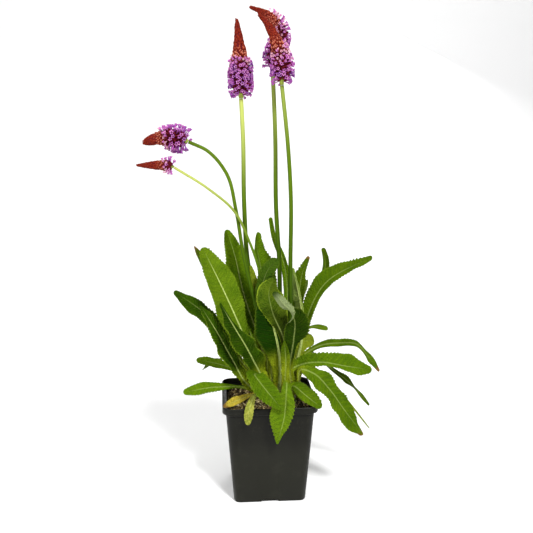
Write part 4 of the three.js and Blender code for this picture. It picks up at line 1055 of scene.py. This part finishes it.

# %% [markdown]
# Leaf colour has three layers too: the green of the blade, which drifts from patch to patch and carries
# painted light on the bulges and painted shade in the creases of its crinkle, the pale side veins, and the
# paler underside. The veins are drawn from the same numbers as the bulges, so they lie in their valleys.

# %% Colour the leaves
# Each tint is a dark and a light green. Besides the leaves' own greens the tints hold painted light and
# shade: bright is for lit leaves, and deep, shade, dusky and slate for leaves in the shade of others
TINTS = {
    "bright": ((0.050, 0.105, 0.002), (0.120, 0.190, 0.006)),
    "lime": ((0.130, 0.185, 0.006), (0.250, 0.300, 0.020)),
    "fresh": ((0.034, 0.080, 0.001), (0.095, 0.162, 0.003)),
    "mid": ((0.026, 0.060, 0.001), (0.078, 0.128, 0.002)),
    "deep": ((0.006, 0.024, 0.0005), (0.036, 0.080, 0.001)),
    "shade": ((0.004, 0.026, 0.0003), (0.020, 0.075, 0.0006)),
    "slate": ((0.018, 0.048, 0.002), (0.050, 0.092, 0.005)),
    "dusky": ((0.018, 0.050, 0.001), (0.080, 0.122, 0.005)),
    "grey": ((0.060, 0.100, 0.010), (0.130, 0.180, 0.028)),
    "yellow": ((0.280, 0.230, 0.020), (0.520, 0.380, 0.050)),
    "fading": ((0.120, 0.160, 0.012), (0.380, 0.370, 0.070)),
}
VEIN_SHARE = 0.35
VEIN_COLOUR = (0.20, 0.27, 0.030)
RIB_COLOUR = (0.38, 0.46, 0.13)
RIM_HIGHLIGHT_COLOUR = (0.22, 0.30, 0.018)
STALK_COLOUR = (0.150, 0.205, 0.002)
STALK_STREAK = (0.31, 0.36, 0.018)
RUST_COLOUR = (0.16, 0.055, 0.012)
WITHER_COLOUR = (0.15, 0.085, 0.020)
UNDER_COLOUR = (0.40, 0.48, 0.22)


def leaf_finish(tint):
    """The blade above and below, then the painted highlight along its rim, its pale stalk, its midrib, and
    rust and withered tip. The side veins are the light green with a share of the vein colour added."""
    finish = Finish("leaf_" + tint)
    dark, light = TINTS[tint]
    vein_colour = tuple(VEIN_SHARE * np.array(VEIN_COLOUR) + np.array(light))
    along = finish.point_value("along")
    rib_share = finish.point_value("rib")
    vein = finish.point_value("vein")
    upper = finish.step(finish.point_value("upper"), 0.4, 0.6)
    patch = finish.step(finish.speckle(0.016, 3), 0.3, 0.7)
    crinkle = finish.cells(0.0021)
    # On the upper side the net of the crinkle's creases is darkened: painted shade in the creases. On the
    # underside it is the paler net of fine veins
    net = finish.step(crinkle, 0.16, 0.02)
    fine = finish.speckle(0.0013, 3)
    saw = abs(finish.maths("FRACT", vein + finish.speckle(0.005, 1) * 0.3) - 0.5)
    line = finish.step(saw, 0.41, 0.49) * finish.step(rib_share, 0.8, 1.8)
    line = line * (finish.step(finish.speckle(0.007, 2), 0.4, 0.6) * 0.75 + 0.25)
    # Painted light: the bulges between the side veins are lighter than the valleys
    bulge_painted_light = finish.step(saw, 0.45, 0.1)
    colour = finish.mix(patch * 0.38 + bulge_painted_light * 0.26 + fine * 0.5 - net * 0.16 - 0.12, dark, light)
    colour = finish.mix(line * 0.5, colour, vein_colour)
    below = finish.mix(patch * 0.6 + 0.2, dark, light)
    below = finish.mix(finish.point_value("under"), below, UNDER_COLOUR)
    below = finish.mix(line * 0.5 + net * 0.2, below, vein_colour)
    # The leaf's light value paints it lighter or darker for the light or shade it stands in
    colour = finish.dim(finish.mix(upper, below, colour), finish.point_value("light"))
    # Painted highlight along the leaf's edge
    colour = finish.mix(finish.point_value("rim"), colour, RIM_HIGHLIGHT_COLOUR)
    grain = finish.node("ShaderNodeCombineXYZ", sockets={0: rib_share * 3, 1: along * 4, 2: upper * 5})
    streaks = finish.speckle(1, 3, grain)
    streak = finish.mix(finish.step(streaks, 0.35, 0.7), STALK_COLOUR, STALK_STREAK)
    pale = finish.point_value("pale")
    colour = finish.mix(finish.step(pale + (streaks - 0.5) * 0.5 * pale, 0.0, 1.0) * 0.85, colour, streak)
    rib = finish.step(rib_share, 1.05, 0.55) * finish.step(along, 1.0, 0.75)
    colour = finish.mix(rib * finish.point_value("glow"), colour, RIB_COLOUR)
    rust = finish.step(finish.speckle(0.005, 3), 0.5, 0.64) * finish.step(along, 0.22, 0.06)
    colour = finish.mix(rust * 0.8, colour, RUST_COLOUR)
    wither = finish.point_value("wither")
    colour = finish.mix(wither, colour, WITHER_COLOUR)
    bump = finish.relief(finish.step(crinkle, 0.0, 0.35) * 0.5 + fine * 0.6 - line * 0.6, 0.0014, 0.8)
    return finish.shade(
        {
            "Base Color": colour,
            "Roughness": 0.48 + patch * 0.1 + wither * 0.25,
            "Normal": bump,
            "Specular IOR Level": 0.02,
        }
    )


leaf_materials = {tint: leaf_finish(tint) for tint in TINTS}
print("leaf finishes:", ", ".join(leaf_materials))

# %% Grow the leaves
total = 0
for number, leaf in enumerate(LEAVES):
    rings, values = leaf_shape(leaf, lengths[number], 100 + number)
    points, faces = closed_rings(rings)
    values = {key: spread(grid) for key, grid in values.items()}
    node = "leaf_" + leaf["name"]
    finish = leaf_materials[leaf["tint"]]
    make_piece(node + "_blade", points, faces, values, finish, node)
    total += len(points)
print("leaf points:", total)

# %% [markdown]
# ## Flower stems
# The stems are round, smooth and faintly ribbed. They are dark green below, paler under the head, and
# two of them bend over under the weight of their heads.

# %% List the stems and their heads
# - turn, ring: the stem's seat on the crown, as an angle and a distance from the crown's axis
# - thick: its diameter
# - young, young_from: how far it turns pale under the head, and from which station
# - path, axis: the points that the stem and then its head pass through
# - bud, floret: radii of the bud cone and of the sleeve of florets round it
# - upto, side: share of the head with open florets, and how much more of it on its upper right side
# - blunt: power of the cone's taper, below 1 for a cone that stays wide for longer
STEMS = [
    dict(name="left", turn=150, ring=5.4, thick=4, tint="stem_green", young=1, young_from=0.66,
         path=[(-4, 2, 165), (-19, 0, 229), (-22, 0, 278), (-23, 0, 348), (-24.5, 0, 380)],
         axis=[(-25, 0, 400), (-26, 0, 425), (-28, 0, 450)],
         bud=8, floret=11.8, upto=0.47, side=0, blunt=1),
    dict(name="middle", turn=60, ring=4.6, thick=4, tint="stem_green", young=0.5, young_from=0.62,
         path=[(13, 9, 165), (12, 11, 227), (9, 12, 277), (8, 13, 349), (5.5, 13, 407)],
         axis=[(9, 13, 425), (12, 13, 440), (2, 13, 455), (-16, 13, 463)],
         bud=7, floret=11.5, upto=0.5, side=0.22, blunt=1),
    dict(name="right", turn=335, ring=5.2, thick=3.7, tint="stem_green", young=0.4, young_from=0.75,
         path=[(21, -7, 165), (21, -8, 230), (21, -9, 288), (18, -10, 336), (12, -11, 391)],
         axis=[(12, -12, 407), (7.5, -12, 427), (-1.5, -12, 443.5), (-9.5, -12, 452.7)],
         bud=7, floret=11.2, upto=0.4, side=0.12, blunt=1),
    dict(name="nodding", turn=236, ring=5.4, thick=3.2, tint="stem_green", young=0, young_from=0.8,
         path=[(-10, -9, 180), (-24, -8, 240), (-30, -6, 278), (-39, -5, 313), (-56, -5, 333),
               (-73, -5, 341)],
         axis=[(-85, -5, 344), (-100, -5, 344), (-114, -5, 340)],
         bud=7, floret=13, upto=0.5, side=0.08, blunt=0.32),
    dict(name="pale_nodding", turn=288, ring=5.2, thick=2.3, tint="stem_light", young=1, young_from=0.55,
         path=[(1, -6, 180), (-17, -9, 247), (-32, -11, 278), (-56, -12, 299), (-86, -12, 318)],
         axis=[(-97, -12, 320), (-108, -12, 320), (-120, -12, 320)],
         bud=4.5, floret=8.6, upto=0.23, side=0.06, blunt=0.85),
]
print("stems:", len(STEMS))

# %% Colour the stems
# Each finish is the green at the foot, the green further up, and the pale one under a young head
STEM_COLOURS = {
    "stem_green": ((0.032, 0.070, 0.001), (0.070, 0.125, 0.003), (0.37, 0.42, 0.10)),
    "stem_light": ((0.050, 0.105, 0.002), (0.10, 0.165, 0.008), (0.34, 0.38, 0.08)),
}


def stem_finish(name, low, high, young):
    """Greens that change along the stem, with fine streaks up it and the stalks' colour at its foot."""
    finish = Finish(name)
    along = finish.point_value("along")
    streak = finish.speckle(0.0016, 2, finish.stretched((1, 1, 0.06)))
    colour = finish.mix(finish.step(along, 0.3, 0.85), low, high)
    colour = finish.mix(finish.point_value("young"), colour, young)
    colour = finish.dim(colour, 0.8 + streak * 0.4)
    foot = finish.step(along, 0.2, 0.0)
    colour = finish.mix(foot * 0.7, colour, STALK_COLOUR)
    bump = finish.relief(streak, 0.0004, 0.4)
    return finish.shade(
        {"Base Color": colour, "Roughness": 0.45, "Normal": bump, "Specular IOR Level": 0.06}
    )


stem_materials = {name: stem_finish(name, *colours) for name, colours in STEM_COLOURS.items()}
print("stem finishes:", ", ".join(stem_materials))

# %% Grow the stems
STEM_SIDES = 20
STEM_RINGS = 130


def cross_frame(way):
    """Two directions square to a path that do not spin along it."""
    side = unit(np.cross(way, (0, 1, 0.2)))
    return side, np.cross(way, side)


def tube(point, way, radius, sides):
    """Rings of points at that radius round a path. radius has a value for each ring and side."""
    side, up = cross_frame(way)
    angle = np.linspace(0, 2 * np.pi, sides, endpoint=False)
    spoke = side[:, None] * np.cos(angle)[None, :, None] + up[:, None] * np.sin(angle)[None, :, None]
    return point[:, None] + spoke * radius[..., None]


def on_rings(values, sides):
    """One value for each ring of a closed tube, given to all its points."""
    return spread(np.repeat(values[:, None], sides, 1))


for stem in STEMS:
    seat, out = crown_seat(stem["turn"], stem["ring"])
    s = np.linspace(0, 1, STEM_RINGS)
    point, way = smooth_path([seat, *stem["path"]], out, s)
    angle = np.linspace(0, 2 * np.pi, STEM_SIDES, endpoint=False)
    radius = stem["thick"] / 2 * (1.15 - 0.15 * s)[:, None] * (1 + 0.03 * np.cos(5 * angle))[None, :]
    points, faces = closed_rings(tube(point, way, radius, STEM_SIDES))
    young = stem["young"] * ease(s, stem["young_from"], 1.0)
    values = {"along": on_rings(s, STEM_SIDES), "young": on_rings(young, STEM_SIDES)}
    name = "stem_" + stem["name"]
    make_piece(name + "_stalk", points, faces, values, stem_materials[stem["tint"]], name)
    stem["end"] = point[-1]
    stem["end_way"] = way[-1]
print("stems end at", [round(float(stem["end"][2])) for stem in STEMS], "mm")

# %% [markdown]
# ## Flower heads
# A head opens from below. At the top hundreds of pointed red calyxes lie over each other like roof
# tiles. Further down they stand out, and near the foot each one holds a violet floret: a short tube with
# five blunt lobes. Calyxes and florets sit on a spiral that turns by the golden angle, as they do on the
# plant, so no two rows line up.


# %% Shape one calyx and one floret
def calyx_shape():
    """A pointed bud, 1 long and about 1 wide: eight columns, alternately in and out near the tip, so
    that it ends in teeth. Its third result rises from 0 at the foot to 1 at the tip."""
    high = np.array([0.0, 0.25, 0.55, 0.8, 1.0])[:, None]
    wide = np.array([0.22, 0.46, 0.44, 0.27, 0.07])[:, None]
    angle = np.linspace(0, 2 * np.pi, 8, endpoint=False)[None, :]
    tooth = 1 + 0.16 * np.cos(4 * angle) * high
    rings = np.stack([np.cos(angle) * wide * tooth, np.sin(angle) * wide * tooth, high + 0 * angle], -1)
    points, faces = closed_rings(rings)
    return points, faces, np.clip(points[:, 2], 0, 1)


def floret_shape():
    """A tube with five blunt lobes, about 1 from its foot to its face and 1 from its middle to a lobe's
    end. Three columns make a lobe: the notch and its two shoulders. Its third result is 1 in the
    throat and near 0 on the lobes."""
    shoulder = np.array([0, 0.30, 0.70])
    angle = ((np.arange(5)[:, None] + shoulder) * 2 * np.pi / 5).ravel()
    out = np.tile([0.40, 0.96, 0.96], 5)
    # Each row is the tube's radius, the lobe's length and the height, up the outside and down the inside
    rows = [
        (0.24, 0, 0.0),
        (0.30, 0, 0.66),
        (0.44, 0.24, 0.90),
        (0.08, 0.94, 1.04),
        (0.36, 0.20, 0.98),
        (0.16, 0, 0.70),
    ]
    rings = []
    for inner, lobe, high in rows:
        radius = inner + lobe * out
        rings.append(np.stack([np.cos(angle) * radius, np.sin(angle) * radius, np.full(15, high)], -1))
    points, faces = closed_rings(np.stack(rings))
    throat = np.array([0.15, 0.15, 0.1, 0.0, 0.6, 1.0])
    return points, faces, np.concatenate([np.repeat(throat, 15), [0.2, 1.0]])


CALYX = calyx_shape()
FLORET = floret_shape()
print("calyx faces:", sum(len(part) for part in CALYX[1]))
print("floret faces:", sum(len(part) for part in FLORET[1]))

# %% Set them on a spiral
GOLDEN = math.pi * (3 - math.sqrt(5))


def head_radius(stem, t):
    """Radius of the bud cone: it swells from its foot, tapers, and ends in a round cap."""
    swell = ease(t, 0.0, 0.2)
    narrow = np.clip((t - 0.38) / 0.62, 0, 1) ** 1.15
    taper = 0.13 + 0.87 * (1 - narrow) ** stem["blunt"]
    cap = 0.07 / stem["blunt"]
    end = np.sqrt(1 - np.clip((t - 1 + cap) / (cap * 1.07), 0, 1) ** 2)
    return stem["bud"] * (0.3 + 0.7 * swell) * taper * end


def head_axis(stem, t):
    """Points and directions at stations along the middle of the head."""
    foot = stem["end"] + stem["end_way"] * SEAT_GAP
    return smooth_path([foot, *stem["axis"]], stem["end_way"], t)


def spiral(stem, low, high, spacing):
    """Stations and angles of a spiral between two stations, with about spacing(t) between neighbours:
    the count grows along the axis as the circumference over the spacing squared."""
    t = np.linspace(low, high, 400)
    point = head_axis(stem, t)[0]
    step = np.concatenate([[0], np.linalg.norm(np.diff(point, axis=0), axis=1)])
    wide = np.where(t < 0.2, np.maximum(head_radius(stem, t), stem["bud"] * 0.6), head_radius(stem, t))
    count = np.cumsum(step * 2 * np.pi * wide * 0.9 / (0.87 * spacing(t) ** 2))
    numbers = np.arange(int(count[-1]))
    return np.interp(numbers + 0.5, count, t), numbers * GOLDEN


def spokes(way, angle):
    """Directions square to the head's axis, at those angles about it."""
    side, up = cross_frame(way)
    return side * np.cos(angle)[:, None] + up * np.sin(angle)[:, None]


def stand_out(stem, t, angle, lift):
    """Where a floret or calyx stands: the point of the head's axis, the way out from it, the way the
    floret points, which leans from the axis by lift, and a way across it."""
    point, way = head_axis(stem, t)
    spoke = spokes(way, angle)
    aim = unit(spoke * np.sin(lift)[:, None] + way * np.cos(lift)[:, None])
    across = unit(np.cross(aim, np.cross(way, spoke)))
    return point, spoke, aim, across


def place_copies(shape, feet, aim, across, sizes, twist):
    """Copies of a shape with its height along aim, turned about it by twist."""
    base, faces, inside = shape
    other = np.cross(aim, across)
    first = across * np.cos(twist)[:, None] + other * np.sin(twist)[:, None]
    turns = np.stack([first, np.cross(aim, first), aim], -1)
    points = np.einsum("nij,npj->npi", turns, base[None] * sizes[:, None, :]) + feet[:, None]
    return points.reshape(-1, 3), copies_of(faces, len(feet), len(base)), np.tile(inside, len(feet))


print("the golden angle is", round(math.degrees(GOLDEN), 1), "degrees")

# %% [markdown]
# The calyxes are brick red with brighter tips. Painted shade turns them deep maroon at their feet, where
# they lie under each other, and dark crimson among the open florets. Newly opened florets are pale
# pink, and older ones go through pink to violet, with painted shade in their throats. Each calyx and
# floret carries a random tone, so that one material can colour them all.

# %% Colour the heads
NECK_COLOUR = (0.26, 0.32, 0.05)


def bud_finish():
    """Painted shade in deep maroon at the foot of each calyx, where it lies under the next ones, up to
    brick red at the tip, paler tips where florets are about to open, painted shade in dark crimson among
    the open florets, and the bare green neck."""
    finish = Finish("bud_red")
    tip = finish.point_value("tip")
    stage = finish.point_value("stage")
    fine = finish.speckle(0.0012, 2)
    # Painted shade: each calyx is near black maroon at its foot, where it lies under the next ones
    colour = finish.mix(finish.step(tip, 0.0, 0.6), (0.018, 0.001, 0.002), (0.145, 0.010, 0.003))
    colour = finish.mix(finish.step(tip + fine * 0.3 - 0.15, 0.6, 1.0) * 0.85, colour, (0.29, 0.040, 0.010))
    colour = finish.mix(finish.point_value("tone") * 0.5, colour, (0.11, 0.007, 0.005))
    opening = finish.step(tip, 0.6, 1.0) * finish.step(stage, 0.2, 0.8) * finish.step(stage, 1.0, 0.9)
    colour = finish.mix(opening * 0.75, colour, (0.62, 0.24, 0.15))
    # Painted shade: calyxes among the open florets turn dark crimson
    colour = finish.mix(finish.step(stage, 0.7, 1.0) * 0.75, colour, (0.090, 0.004, 0.014))
    colour = finish.mix(finish.point_value("neck"), colour, NECK_COLOUR)
    bump = finish.relief(fine, 0.0003, 0.5)
    return finish.shade(
        {"Base Color": colour, "Roughness": 0.6, "Normal": bump, "Specular IOR Level": 0.06}
    )


def floret_finish():
    """Violet, pink or pale pink by each floret's tone, with a pale ring round a throat darkened by painted
    shade.
    """
    finish = Finish("floret_violet")
    inside = finish.point_value("tip")
    tone = finish.point_value("tone")
    fine = finish.speckle(0.0009, 2)
    petal = finish.mix(finish.step(tone, 0.0, 0.45), (0.165, 0.042, 0.28), (0.34, 0.066, 0.33))
    petal = finish.mix(finish.step(tone, 0.45, 0.75), petal, (0.49, 0.125, 0.44))
    petal = finish.mix(finish.step(tone, 0.75, 1.0), petal, (0.76, 0.40, 0.48))
    petal = finish.mix(fine * 0.25, petal, (0.50, 0.16, 0.50))
    colour = finish.mix(finish.step(inside, 0.25, 0.55) * 0.45, petal, (0.78, 0.44, 0.60))
    # Painted shade: the throat inside the tube is dark
    colour = finish.mix(finish.step(inside, 0.6, 0.85), colour, (0.11, 0.010, 0.045))
    bump = finish.relief(fine, 0.0002, 0.4)
    return finish.shade(
        {"Base Color": colour, "Roughness": 0.6, "Normal": bump, "Specular IOR Level": 0.12}
    )


bud_material = bud_finish()
floret_material = floret_finish()
print("head finishes:", bud_material.name, floret_material.name)

# %% [markdown]
# A head could be a particle system, but arrays keep the order of the spiral, and the size, the lean and
# the tint of each calyx and floret follow from its place on the axis. A solid core fills the gaps.

# %% Build the bud cones
CORE_SIDES = 16


def bud_cone(stem, seed):
    """A solid core under the calyxes, and calyxes on a spiral all over it but for the neck."""
    random = np.random.default_rng(seed)
    scale = stem["bud"] / 8
    upto = stem["upto"]

    def spacing(t):
        """Distance between neighbouring calyxes, smaller towards the tip."""
        return scale * (2.6 - 1.3 * ease(t, 0.35, 1.0))

    t = np.linspace(0, 1, 60)
    point, way = head_axis(stem, t)
    core = np.repeat((head_radius(stem, t) * np.where(t > 0.9, 0.8, 0.86))[:, None], CORE_SIDES, 1)
    core_points, core_faces = closed_rings(tube(point, way, core, CORE_SIDES))
    at, angle = spiral(stem, 0.05, 0.985, spacing)
    at = np.clip(at + random.normal(0, 0.004, len(at)), 0.03, 0.99)
    angle = angle + random.normal(0, 0.09, len(at))
    lift = 1.15 - 0.85 * ease(at, upto - 0.15, upto + 0.2) - 0.12 * at
    lift = lift + random.normal(0, 0.1, len(at))
    middle, spoke, aim, across = stand_out(stem, at, angle, lift)
    feet = middle + spoke * (head_radius(stem, at) * 0.72)[:, None]
    size = spacing(at) * random.uniform(0.8, 1.15, len(at))
    tall = 1.75 - 0.25 * ease(at, 0.5, 1.0)
    sizes = np.column_stack([size * 1.08, size * 1.08, size * tall])
    copies = place_copies(CALYX, feet, aim, across, sizes, random.uniform(0, 0.4, len(at)))
    per = len(CALYX[0])
    tones = np.repeat(random.random(len(at)), per)
    stages = np.repeat(ease(at, upto + stem["side"] + 0.3, upto - 0.1), per)
    points, faces, tips = join_parts([(core_points, core_faces, np.zeros(len(core_points))), copies])
    # The core takes the darkest colours: painted shade in the gaps between the calyxes
    on_core = np.ones(len(core_points))
    neck = on_rings(ease(t, 0.10, 0.05), CORE_SIDES)
    values = {
        "tip": tips,
        "tone": np.concatenate([on_core, tones]),
        "stage": np.concatenate([on_core, stages]),
        "neck": np.concatenate([neck, np.zeros(len(tones))]),
    }
    return points, faces, values


for number, stem in enumerate(STEMS):
    points, faces, values = bud_cone(stem, 300 + number)
    name = "buds_" + stem["name"]
    make_piece(name + "_cone", points, faces, values, bud_material, name)
    print(name, "points:", len(points))

# %% Build the floret sleeves
MOST_OPEN = 2.15


def floret_sleeve(stem, seed):
    """Florets on a spiral round the lower part of the cone. Those near its upper end have just opened:
    they are smaller and paler."""
    random = np.random.default_rng(seed)
    open_radius = min((stem["floret"] - stem["bud"]) * 0.5, MOST_OPEN)
    upto = stem["upto"]

    def spacing(t):
        """Distance between neighbouring florets, smaller where they have just opened."""
        return 1.5 * open_radius * (1 - 0.3 * ease(t, upto - 0.1, upto + 0.05))

    at, angle = spiral(stem, 0.045, upto + stem["side"] + 0.03, spacing)
    spoke = spokes(head_axis(stem, at)[1], angle)
    last = upto + 0.03 + stem["side"] * np.clip(spoke[:, 2] + spoke[:, 0] * 0.5, 0, 1)
    at, angle, last = at[at < last], angle[at < last], last[at < last]
    at = at + random.normal(0, 0.006, len(at))
    young = ease(at + random.normal(0, 0.03, len(at)), last - 0.16 - stem["side"], last)
    lift = 1.85 - 0.6 * at / (upto + stem["side"]) + random.normal(0, 0.22, len(at))
    middle, spoke, aim, across = stand_out(stem, at, angle + random.normal(0, 0.1, len(at)), lift)
    foot_radius = head_radius(stem, at) * 0.75
    feet = middle + spoke * foot_radius[:, None]
    reach = np.minimum(stem["floret"] - foot_radius, stem["floret"] - stem["bud"] * 0.58)
    size = open_radius * (1 - 0.45 * young) * random.uniform(0.85, 1.12, len(at))
    tall = reach * (1 - 0.35 * young) * random.uniform(0.88, 1.05, len(at))
    sizes = np.column_stack([size, size * random.uniform(0.68, 1.0, len(at)), tall])
    copies = place_copies(FLORET, feet, aim, across, sizes, random.uniform(0, 6.28, len(at)))
    tone = np.clip(0.08 + 0.6 * random.random(len(at)) + 0.6 * young, 0, 1)
    return *copies, np.repeat(tone, len(FLORET[0]))


for number, stem in enumerate(STEMS):
    points, faces, inside, tones = floret_sleeve(stem, 400 + number)
    name = "florets_" + stem["name"]
    values = {"tip": inside, "tone": tones}
    make_piece(name + "_open", points, faces, values, floret_material, name)
    print(name, "florets:", len(points) // len(FLORET[0]))

# %% [markdown]
# ## Floor and light
# The picture has a white floor that runs into a white wall, and soft light from the front and from
# above. A large curved sheet is the floor and the wall in one. Four lamps and a pale sky light it: the
# key and the fill from the front, a large one above, and a weak one behind for views from there.

# %% Lay the floor
FLOOR_HALF = 4000
FLOOR_FRONT = -3000
BEND_FROM = 600
BEND_RADIUS = 800
WALL_TOP = 3500


def floor_finish():
    """Even white paper."""
    finish = Finish("floor_paper")
    return finish.shade({"Base Color": (0.92, 0.92, 0.92), "Roughness": 0.9, "Specular IOR Level": 0.1})


bend = np.linspace(0, np.pi / 2, 16)
run = np.concatenate([[FLOOR_FRONT, BEND_FROM], BEND_FROM + np.sin(bend) * BEND_RADIUS])
run = np.append(run, BEND_FROM + BEND_RADIUS)
rise = np.concatenate([[0, 0], BEND_RADIUS - np.cos(bend) * BEND_RADIUS, [WALL_TOP]])
edges = [np.column_stack([np.full(len(run), x), run, rise]) for x in (-FLOOR_HALF, FLOOR_HALF)]
index = np.arange(len(run) - 1)
floor_faces = np.column_stack([index, index + len(run), index + len(run) + 1, index + 1])
floor_mesh = new_mesh("floor", np.concatenate(edges), [floor_faces])
floor_mesh.polygons.foreach_set("use_smooth", [True] * len(floor_mesh.polygons))
floor_mesh.materials.append(floor_finish())
floor = new_object("floor", floor_mesh)
floor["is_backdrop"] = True
print("floor and wall:", len(floor_faces), "strips")

# %% Light it
LIT_PLACE = (0, 0, 0.2)
# Each lamp's place and width in metres, and its power in watts
LAMPS = {
    "key": ((0.40, -1.05, 1.25), 0.3, 28),
    "fill": ((-0.95, -0.88, 0.95), 0.4, 15),
    "top": ((-0.1, 0.3, 1.9), 1.4, 7),
    "back": ((0.5, 1.25, 0.9), 0.7, 6),
}
SKY_STRENGTH = 0.22


def lamp(name, place, size, power):
    """A round lamp that looks at the lit place."""
    data = bpy.data.lights.new(name, "AREA")
    data.shape = "DISK"
    data.size = size
    data.energy = power
    made = new_object(name, data)
    made.location = place
    away = np.array(place, float) - np.array(LIT_PLACE, float)
    flat = math.hypot(away[0], away[1])
    made.rotation_euler = (math.atan2(flat, away[2]), 0, math.atan2(away[1], away[0]) + math.pi / 2)


for name, (place, size, power) in LAMPS.items():
    lamp(name, place, size, power)
world = bpy.data.worlds.new("sky")
world.use_nodes = True
world.node_tree.nodes["Background"].inputs["Color"].default_value = (1, 1, 1, 1)
world.node_tree.nodes["Background"].inputs["Strength"].default_value = SKY_STRENGTH
bpy.context.scene.world = world
bpy.context.scene.view_settings.view_transform = "Standard"
print("lamps:", len(LAMPS))

# %% Measure and finish
visual_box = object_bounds()
sizes = {
    "cad": [list(map(float, corner)) for corner in cad_box],
    "visual": [list(map(float, corner)) for corner in visual_box],
}
print("packed model:", [[round(v, 4) for v in corner] for corner in cad_box])
print("with its looks:", [[round(v, 4) for v in corner] for corner in visual_box])
